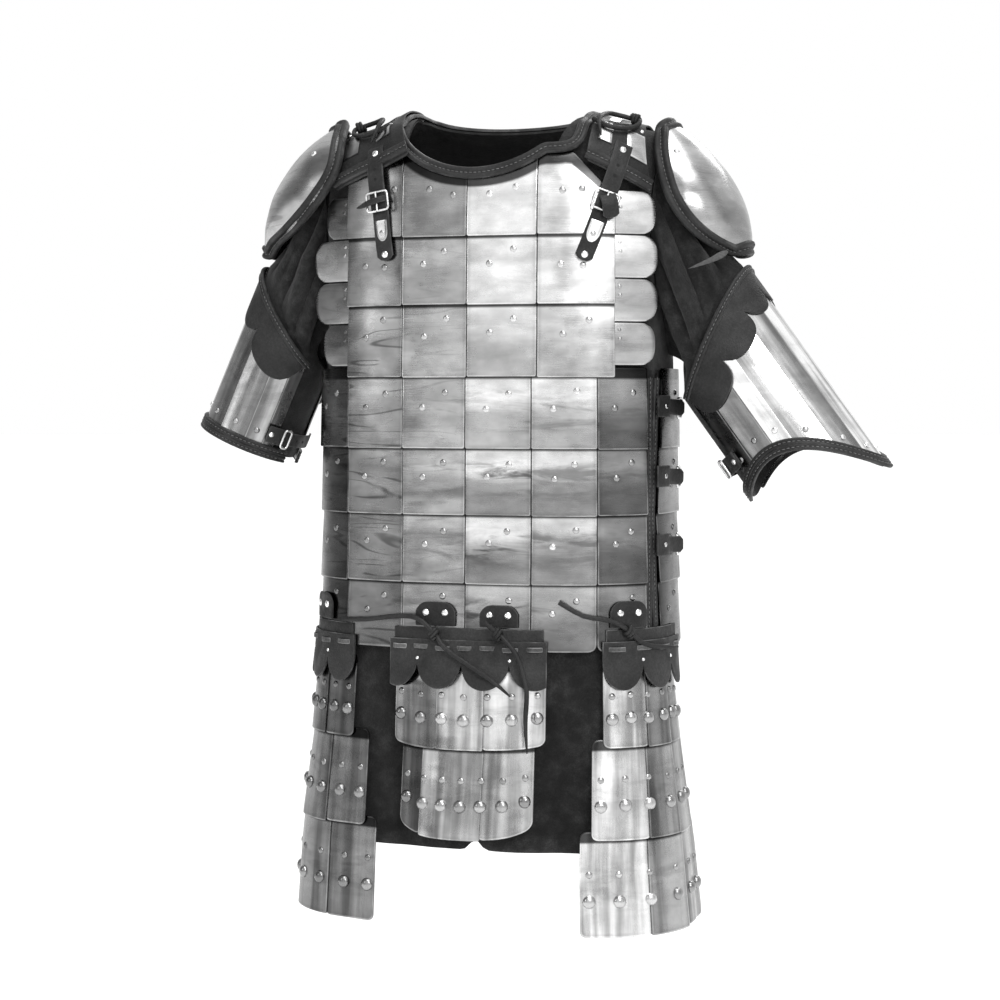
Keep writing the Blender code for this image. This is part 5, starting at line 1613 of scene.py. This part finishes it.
def buckle(work, centre, along, out, size, tongue=True):
    """A rounded rectangular frame lying on its strap with its tongue across to the far bar."""
    across = along.cross(out).normalized()
    width, length = size
    points = []
    for x, y, start in ((1, 1, 0), (-1, 1, 90), (-1, -1, 180), (1, -1, 270)):
        for angle in map(math.radians, spread(start, start + 90, 4)):
            aside = x * (width / 2 - BUCKLE_CORNER) + BUCKLE_CORNER * math.cos(angle)
            ahead = y * (length / 2 - BUCKLE_CORNER) + BUCKLE_CORNER * math.sin(angle)
            points.append(centre + across * aside + along * ahead)
    wire_loop(work, points, WIRE)
    if tongue:
        bend = ((-0.50, 0.0022), (-0.30, 0.0020), (0.0, 0.0016), (0.30, 0.0019), (0.56, 0.0022))
        line = [centre + along * length * share + out * rise for share, rise in bend]
        wire_loop(work, smooth_line(line, 4), WIRE * 0.85, closed=False)


# For each side: the line of the strap and its chape from the yoke to the chape's foot, as (s, height).
SHOULDER_STRAPS = {
    "left": ((0.1645, -0.053), (0.1615, -0.067), (0.157, -0.084), (0.146, -0.119), (0.136, -0.148),
             (0.127, -0.172)),
    "right": ((-0.1065, -0.0515), (-0.104, -0.065), (-0.102, -0.081), (-0.0975, -0.114), (-0.0945, -0.143),
              (-0.091, -0.169)),
}
# The way each strap's end lies past the buckle, where it starts across and up from the bar, how far it
# reaches, its width and the length over which its end is rounded.
SHOULDER_TAILS = {
    "left": ((0.20, 0.0, -0.98), -0.001, 0.012, 0.026, 0.018, 0.003),
    "right": ((-0.95, 0.0, -0.31), 0.011, 0.008, 0.036, 0.0065, 0.020),
}
# The face of each chape's slot: its width and how light it looks, a painted reflection lighter on the
# wearer's left.
SLOT_FACES = {"left": (0.0150, 0.85), "right": (0.0145, 0.50)}
# The strap meets its buckle at the fourth point of its line, each of whose spans has this many steps.
STRAP_STEPS = 6
STRAP_TURN = 3
CHAPE_LIFT = OVER_PLATES + 0.0004
STRAP_LIFT = CHAPE_LIFT + LEATHER + 0.0006
for name, stations in SHOULDER_STRAPS.items():
    knots, outs = parted([seat_on("front", s, z, 0.0) for s, z in stations])
    line, line_out = smooth_line(knots, STRAP_STEPS), smooth_line(outs, STRAP_STEPS)
    cut = STRAP_TURN * STRAP_STEPS
    upper, upper_out, chape, chape_out = line[:cut], line_out[:cut], line[cut:], line_out[cut:]
    work = new_work()
    strap(work, chape, chape_out, STRAP_WIDTH, LEATHER, CHAPE_LIFT, tip=0.004)
    ride(make_mesh(f"shoulder_chape_{name}_leather", work, STRAP_LEATHER), "leather",
         f"shoulder_chape_{name}")
    # The chape's slot, faced with a bright plate and its rivet, then the rivet at the chape's foot.
    work = new_work()
    wide, tone = SLOT_FACES[name]
    strap(work, chape[2:8], chape_out[2:8], wide, 0.0006, CHAPE_LIFT + LEATHER, tip=0.012, tone=tone)
    seat = chape[5] + chape_out[5] * (CHAPE_LIFT + LEATHER + 0.0004)
    rivet(work, seat, chape_out[5], *SLOT_HEAD, 0.6)
    seat = chape[10] + chape_out[10] * (CHAPE_LIFT + LEATHER - 0.0002)
    rivet(strap_rivets, seat, chape_out[10], *STRAP_HEAD, 0.9)

    # Past the buckle's bar the strap's end comes forward: it hangs down on the wearer's left and lies
    # aside towards the arm on the right.
    here, out = upper[-1], upper_out[-1]
    along = (chape[1] - here).normalized()
    way, start_across, start_up, reach, wide_end, round_end = SHOULDER_TAILS[name]
    start = here - along * start_up + Vector((start_across, 0, 0))
    tail = [start + Vector(way) * reach * share
            + out * (0.0045 * math.sin(math.pi * min(1.0, share * 1.2)) + 0.0030)
            for share in spread(0.0, 1.0, 7)]
    strap_work = new_work()
    strap(strap_work, upper + [here + along * 0.005], upper_out + [out], STRAP_WIDTH, LEATHER, STRAP_LIFT)
    strap(strap_work, tail, [out] * len(tail), wide_end, LEATHER, STRAP_LIFT + LEATHER * 0.4, tip=round_end)
    seat = upper[3] + upper_out[3] * (STRAP_LIFT + LEATHER - 0.0002)
    rivet(strap_rivets, seat, upper_out[3], *STRAP_HEAD, 0.9)
    for k in (9, 12, 15):
        hole(upper[k] + upper_out[k] * (STRAP_LIFT + LEATHER), upper_out[k])
    ride(make_mesh(f"shoulder_strap_{name}_leather", strap_work, STRAP_LEATHER), "leather",
         f"shoulder_strap_{name}")
    above, bar, out = knots[STRAP_TURN - 1], knots[STRAP_TURN], outs[STRAP_TURN]
    seat = bar.lerp(above, 0.30) + out * (STRAP_LIFT + LEATHER + WIRE + 0.0006)
    buckle(work, seat, (bar - above).normalized(), out, SHOULDER_BUCKLE)
    ride(make_mesh(f"shoulder_buckle_{name}_frame", work, BUCKLE_STEEL, 60), "steel",
         f"shoulder_buckle_{name}")

# The three side straps, from the front panel over the gap to buckles near the back panel's edge.
SIDE_STRAP_HEIGHTS = (-0.331, -0.409, -0.486)
SIDE_STRAP_FROM, SIDE_STRAP_TO = 0.214, 0.262
SIDE_STRAP_FALL = 0.04
SIDE_STRAP_OFF = 0.024
small_buckles = new_work()
for n, z in enumerate(SIDE_STRAP_HEIGHTS):
    flat, outs = parted([seat_on("front", s, z - (s - SIDE_STRAP_FROM) * SIDE_STRAP_FALL, 0.0)
                         for s in spread(SIDE_STRAP_FROM, SIDE_STRAP_TO, 12)])
    # The strap's end stands a little off the side.
    line = [p + out * SIDE_STRAP_OFF * max(0.0, share - 0.5) ** 1.5
            for p, out, share in zip(flat, outs, spread(0.0, 1.0, 12))]
    work = new_work()
    strap(work, line, outs, SIDE_STRAP_WIDTH, LEATHER, CHAPE_LIFT, tip=0.003)
    chape_seats = [seat_on("front", s, z, 0.0)
                   for s in spread(SIDE_STRAP_FROM - 0.006, SIDE_STRAP_FROM + 0.016, 5)]
    strap(work, *parted(chape_seats), SIDE_CHAPE_WIDTH, LEATHER, CHAPE_LIFT + LEATHER + 0.0004)
    ride(make_mesh(f"side_strap_{n + 1}_leather", work, STRAP_LEATHER), "leather", f"side_strap_{n + 1}")
    seat, out = seat_on("front", SIDE_STRAP_TO + 0.004, z - 0.002, CHAPE_LIFT + LEATHER + WIRE)
    buckle(small_buckles, seat, (flat[-1] - flat[-3]).normalized(), out, SIDE_BUCKLE)
    seat, out = seat_on("front", SIDE_STRAP_FROM + 0.008, z, CHAPE_LIFT + LEATHER * 2 + 0.0002)
    rivet(strap_rivets, seat, out, *SIDE_STRAP_HEAD, 0.45)

# Each guard's strap crosses the gap inside the arm, this many degrees under the guard at both ends and
# this far above its hem, and is buckled at the front.
GUARD_STRAP_UNDER = 14
GUARD_STRAP_UP = 0.030
for name, arm in ARMS.items():
    first, last = arm["splints"][0], arm["splints"][-1]
    start = last - GUARD_STRAP_UNDER
    up = max(guard_foot(arm, start), guard_foot(arm, 180)) + GUARD_STRAP_UP
    over = OVER_SPLINTS + LEATHER + 0.001
    work = new_work()
    seats = [arm_seat(arm, t, up, over) for t in spread(start, 360 + first + GUARD_STRAP_UNDER, 24)]
    strap(work, *parted(seats), GUARD_STRAP_WIDTH, LEATHER, 0.0)
    seats = [arm_seat(arm, t, up, over + LEATHER + 0.0003) for t in spread(start, last + 8, 5)]
    strap(work, *parted(seats), GUARD_CHAPE_WIDTH, LEATHER, 0.0)
    ride(make_mesh(f"guard_strap_{name}_leather", work, STRAP_LEATHER), "leather", f"guard_strap_{name}")
    seat, out = arm_seat(arm, last + 6, up, over + LEATHER * 2 + WIRE + 0.001)
    along = (arm_point(arm, last + 9, up, 0) - arm_point(arm, last + 3, up, 0)).normalized()
    buckle(small_buckles, seat, along, out, GUARD_BUCKLE, tongue=False)
    seat, out = arm_seat(arm, last - 10, up, over + LEATHER * 2 + 0.0001)
    rivet(strap_rivets, seat, out, *GUARD_STRAP_HEAD, 0.85)
    for turn in (last + 24, last + 36):
        hole(*arm_seat(arm, turn, up, over + LEATHER), 0.0016)
ride(make_mesh("side_and_guard_buckles", small_buckles, BUCKLE_STEEL, 60), "steel")
ride(make_mesh("guard_rivets", guard_rivets, RIVET_STEEL, 60), "steel")

# ---------------------------------------------------------------- tabs
# Four leather tabs riveted to the lowest row, two rivets each, which carry the hip plates.

TAB_LEATHER = leather_finish("tab_leather", 0.014)
# A tab draws in by this share over the top part of its height.
TAB_DRAW, TAB_DRAW_FROM = 0.16, 0.6
# Each tab's two sides, its foot and its top.
TABS = {
    "centre_right": (-0.056, -0.010, -0.5755, -0.549),
    "centre_left": (0.018, 0.061, -0.5755, -0.551),
    "left": (0.156, 0.196, -0.5755, -0.546),
    "right": (-0.206, -0.166, -0.5755, -0.546),
}
for name, (left, right, foot, top) in TABS.items():
    work = new_work()
    wide, high = right - left, top - foot

    def place(u, v, lift):
        draw = 1 - TAB_DRAW * max(0.0, v / high - TAB_DRAW_FROM) / (1 - TAB_DRAW_FROM)
        return at_height("front", left + wide / 2 + (u - wide / 2) * draw, foot + v, CHAPE_LIFT + lift)

    lay_sheet(work, place, wide, high, LEATHER, cells=(8, 6), corners=(0.0015, 0.010))
    ride(make_mesh(f"tab_{name}_leather", work, TAB_LEATHER), "leather", f"tab_{name}")
    for share in (0.26, 0.74):
        s = lerp(left, right, share)
        seat, out = seat_on("front", s, foot + high * 0.56, CHAPE_LIFT + LEATHER - 0.0002)
        rivet(strap_rivets, seat, out, *STRAP_HEAD, 0.92)
ride(make_mesh("strap_rivets", strap_rivets, RIVET_STEEL, 60), "steel")

# ---------------------------------------------------------------- tassets
# Three hip plates hang from the tabs: a leather flap with a scalloped foot and a thong woven through
# slots, then two or three rows of bent steel plates with small rivets over large domes.

# For each tasset: how far it bows across its width, how far it swings out at its foot, the edges of its
# leather, one cusp of the leather's scallops, their pitch, and its rows as top, foot and two edges. Then, for
# each row, how far its ends rise, its seams as shares of its width and how light its plates look, which is
# painted reflection and painted shade, and last its large domes in a row.
TASSETS = {
    "centre": dict(bow=0.020, swing=0.0, edges=(-0.085, 0.092), cusp=-0.050, pitch=0.052,
                   rows=((-0.612, -0.711, -0.080, 0.091), (-0.701, -0.808, -0.069, 0.080)),
                   ends=(0.006, 0.014), seams=((0.0, 0.33, 0.63, 1.0), (0.0, 0.20, 0.655, 1.0)),
                   tones=((0.25, 0.58, 0.62), (0.18, 0.48, 0.44)), domes=7),
    "left": dict(bow=0.004, swing=0.022, edges=(0.148, 0.262), cusp=0.148, pitch=0.041,
                 rows=((-0.612, -0.708, 0.150, 0.262), (-0.698, -0.808, 0.139, 0.272),
                       (-0.798, -0.911, 0.128, 0.284)), ends=(0.0, 0.0, 0.0),
                 seams=((0.0, 0.42, 0.68, 1.0),) * 3,
                 tones=((0.70, 0.24, 0.22), (0.70, 0.30, 0.26), (0.74, 0.32, 0.28)), domes=6),
    "right": dict(bow=0.004, swing=0.012, edges=(-0.244, -0.130), cusp=-0.244, pitch=0.038,
                  rows=((-0.612, -0.706, -0.244, -0.132), (-0.696, -0.804, -0.252, -0.113),
                        (-0.794, -0.909, -0.262, -0.100)), ends=(0.0, 0.0, 0.0),
                  seams=((0.0, 0.35, 0.66, 1.0),) * 3,
                  tones=((0.08, 0.11, 0.13), (0.24, 0.22, 0.28), (0.34, 0.18, 0.22)), domes=6),
}
TASSET_BAND_TOP, TASSET_CUSP, TASSET_LOBE = -0.577, -0.612, -0.644
TASSET_BAND, TASSET_BAND_THICK = 0.030, 0.0018
FLAP_TOP, FLAP_THICK = -0.590, 0.0024
TASSET_LEATHER_LIFT = OVER_PLATES + 0.0004
FLAP_LIFT = TASSET_LEATHER_LIFT + LEATHER * 0.8
TASSET_LIFT = 0.0085
TASSET_LEAN = 0.0030
# Each bar of the woven thong: its length, its width and how its middle rises out of the flap. The bars
# are this far apart and run this far below the flap's top.
BAR, BAR_WIDTH, BAR_THICK = 0.0170, 0.0052, 0.0013
BAR_RISE = (-0.0014, 0.0004, 0.0012, 0.0014, 0.0012, 0.0004, -0.0014)
BAR_PITCH, BAR_DOWN = 0.0255, 0.0085
# A plate's outer corners and its corners at a seam, and how far it reaches under the one before.
OUTER_CORNER, SEAM_CORNER, SEAM_UNDER = 0.007, 0.002, 0.003
FLAP_HEAD = (0.0021, 0.0014)
# A row's small heads and its large domes: their place as a share of its height, radius and height.
ROW_HEADS = ((0.60, 0.0040, 0.0022), (0.34, 0.0074, 0.0052))


def tasset_point(spec, s, z, lift):
    """A point of a hanging tasset: it bows out across its width and swings out towards its foot."""
    left, right = spec["edges"]
    middle, half = (left + right) / 2, (right - left) / 2
    bow = spec["bow"] * max(0.0, 1 - ((s - middle) / half) ** 2) * held((TASSET_BAND_TOP - z) / 0.06)
    bow *= 1 + 0.7 * held((-0.700 - z) / 0.1)
    swing = spec["swing"] * max(0.0, (-0.610 - z) / 0.31) ** 1.2
    # Below the form's foot a tasset hangs straight down.
    form_foot = TORSO[-1][0]
    base, _, _, out = skin_frame("front", s, max(z, form_foot))
    return base + Vector((0, 0, min(0.0, z - form_foot))) + out * (lift + bow + swing)


BENT_STEEL = steel_finish("bent_steel", upright=True, tucked=0.010)
FLAP_LEATHER = leather_finish("flap_leather", 0.020, rub=4.5)
PALER_BAR_LEATHER = leather_finish("paler_bar_leather", 0.075)
tasset_rivets = new_work()
for name, spec in TASSETS.items():
    left, right = spec["edges"]
    cusp, pitch = spec["cusp"], spec["pitch"]
    wide, high = right - left, FLAP_TOP - TASSET_LOBE
    margin = 0.004

    # The band that hangs from the tabs, behind.
    def band(u, v, lift):
        z = TASSET_BAND_TOP - TASSET_BAND + v
        return tasset_point(spec, left + margin + u, z, TASSET_LEATHER_LIFT - 0.0006 + lift)

    # The flap laced to it in front, its top edge standing a little proud.
    def flap(u, v, lift):
        s, share = left + u, v / high
        foot = lerp(TASSET_CUSP, TASSET_LOBE, arch(2 * ((s - cusp) / pitch % 1.0) - 1))
        return tasset_point(spec, s, lerp(foot, FLAP_TOP, share), FLAP_LIFT + 0.0006 * share ** 6 + lift)

    bars, work = new_work(), new_work()
    lay_sheet(work, band, wide - margin * 2, TASSET_BAND, TASSET_BAND_THICK, cells=(28, 8),
              corners=(0.001, 0.001))
    lay_sheet(work, flap, wide, high, FLAP_THICK, cells=(150, 16), corners=(0.0, 0.0))
    # The thong woven through the flap's slots: it shows as short bars, in a paler leather than the thongs.
    count = max(3, round(wide / BAR_PITCH))
    for k in range(count):
        s = left + wide * (k + 0.5) / count
        z = FLAP_TOP - BAR_DOWN + 0.0010 * math.sin(k * 2.1)
        seats = [stand_on(tasset_point, spec, s + along, z, FLAP_LIFT + FLAP_THICK + rise)
                 for along, rise in zip(spread(-BAR / 2, BAR / 2, 6), BAR_RISE)]
        strap(bars, *parted(seats), BAR_WIDTH, BAR_THICK, 0.0004)
    ride(make_mesh(f"tasset_{name}_flap", work, FLAP_LEATHER, 50), "leather", f"tasset_{name}_leather")
    ride(make_mesh(f"tasset_{name}_woven_thong", bars, PALER_BAR_LEATHER, 50), "leather")
    for k in range(-3, 6):
        s = cusp + pitch * k
        if left + margin < s < right - margin:
            seat, out = stand_on(tasset_point, spec, s, TASSET_CUSP + 0.0008, FLAP_LIFT + 0.0022)
            rivet(tasset_rivets, seat, out, *FLAP_HEAD, 0.9)

    for n, (top, foot, start, end) in enumerate(spec["rows"]):
        work = new_work()
        seams = [lerp(start, end, share) for share in spec["seams"][n]]

        def row_place(k, s, z, lift):
            share = (z - foot) / (top - foot)
            raised = spec["ends"][n] * abs(2 * (s - start) / (end - start) - 1) ** 4 * (1 - share)
            shingle = 0.0012 * (k % 2)
            return tasset_point(spec, s, z + raised, TASSET_LIFT + TASSET_LEAN * (1 - share) + shingle + lift)

        for k, (a, b) in enumerate(zip(seams, seams[1:])):
            a -= SEAM_UNDER if k else 0.0
            uneven = random.uniform(-0.0012, 0.0012)
            corner = OUTER_CORNER if k in (0, 2) else SEAM_CORNER
            lay_sheet(work, lambda u, v, lift: row_place(k, a + u, foot + uneven + v, lift), b - a,
                      top - foot - uneven, STEEL, cells=(10, 14), corners=(corner, corner),
                      tone=spec["tones"][n][k], dark_reflections=0.3, foot_shade=0.1)
        ride(make_mesh(f"tasset_{name}_row_{n + 1}_plates", work, BENT_STEEL), "steel",
             f"tasset_{name}_row_{n + 1}")
        for s in spread(start + 0.009, end - 0.009, spec["domes"] - 1):
            k = sum(1 for edge in seams[1:-1] if s > edge)
            drop = random.uniform(-0.0008, 0.0008)
            # A dome's tone follows its plate's painted tone.
            tone = 0.16 + spec["tones"][n][k] * 0.42
            for share, radius, tall in ROW_HEADS:
                seat, out = stand_on(row_place, k, s, lerp(foot, top, share) + drop, STEEL)
                rivet(tasset_rivets, seat, out, radius, tall, tone, sides=16)
ride(make_mesh("tasset_rivets", tasset_rivets, RIVET_STEEL, 60), "steel")
ride(make_mesh("punched_holes", punched, BLACK_HOLE, 60), "leather")
ride(make_mesh("binding_stitches", binding_threads, THREAD, 60), "leather")
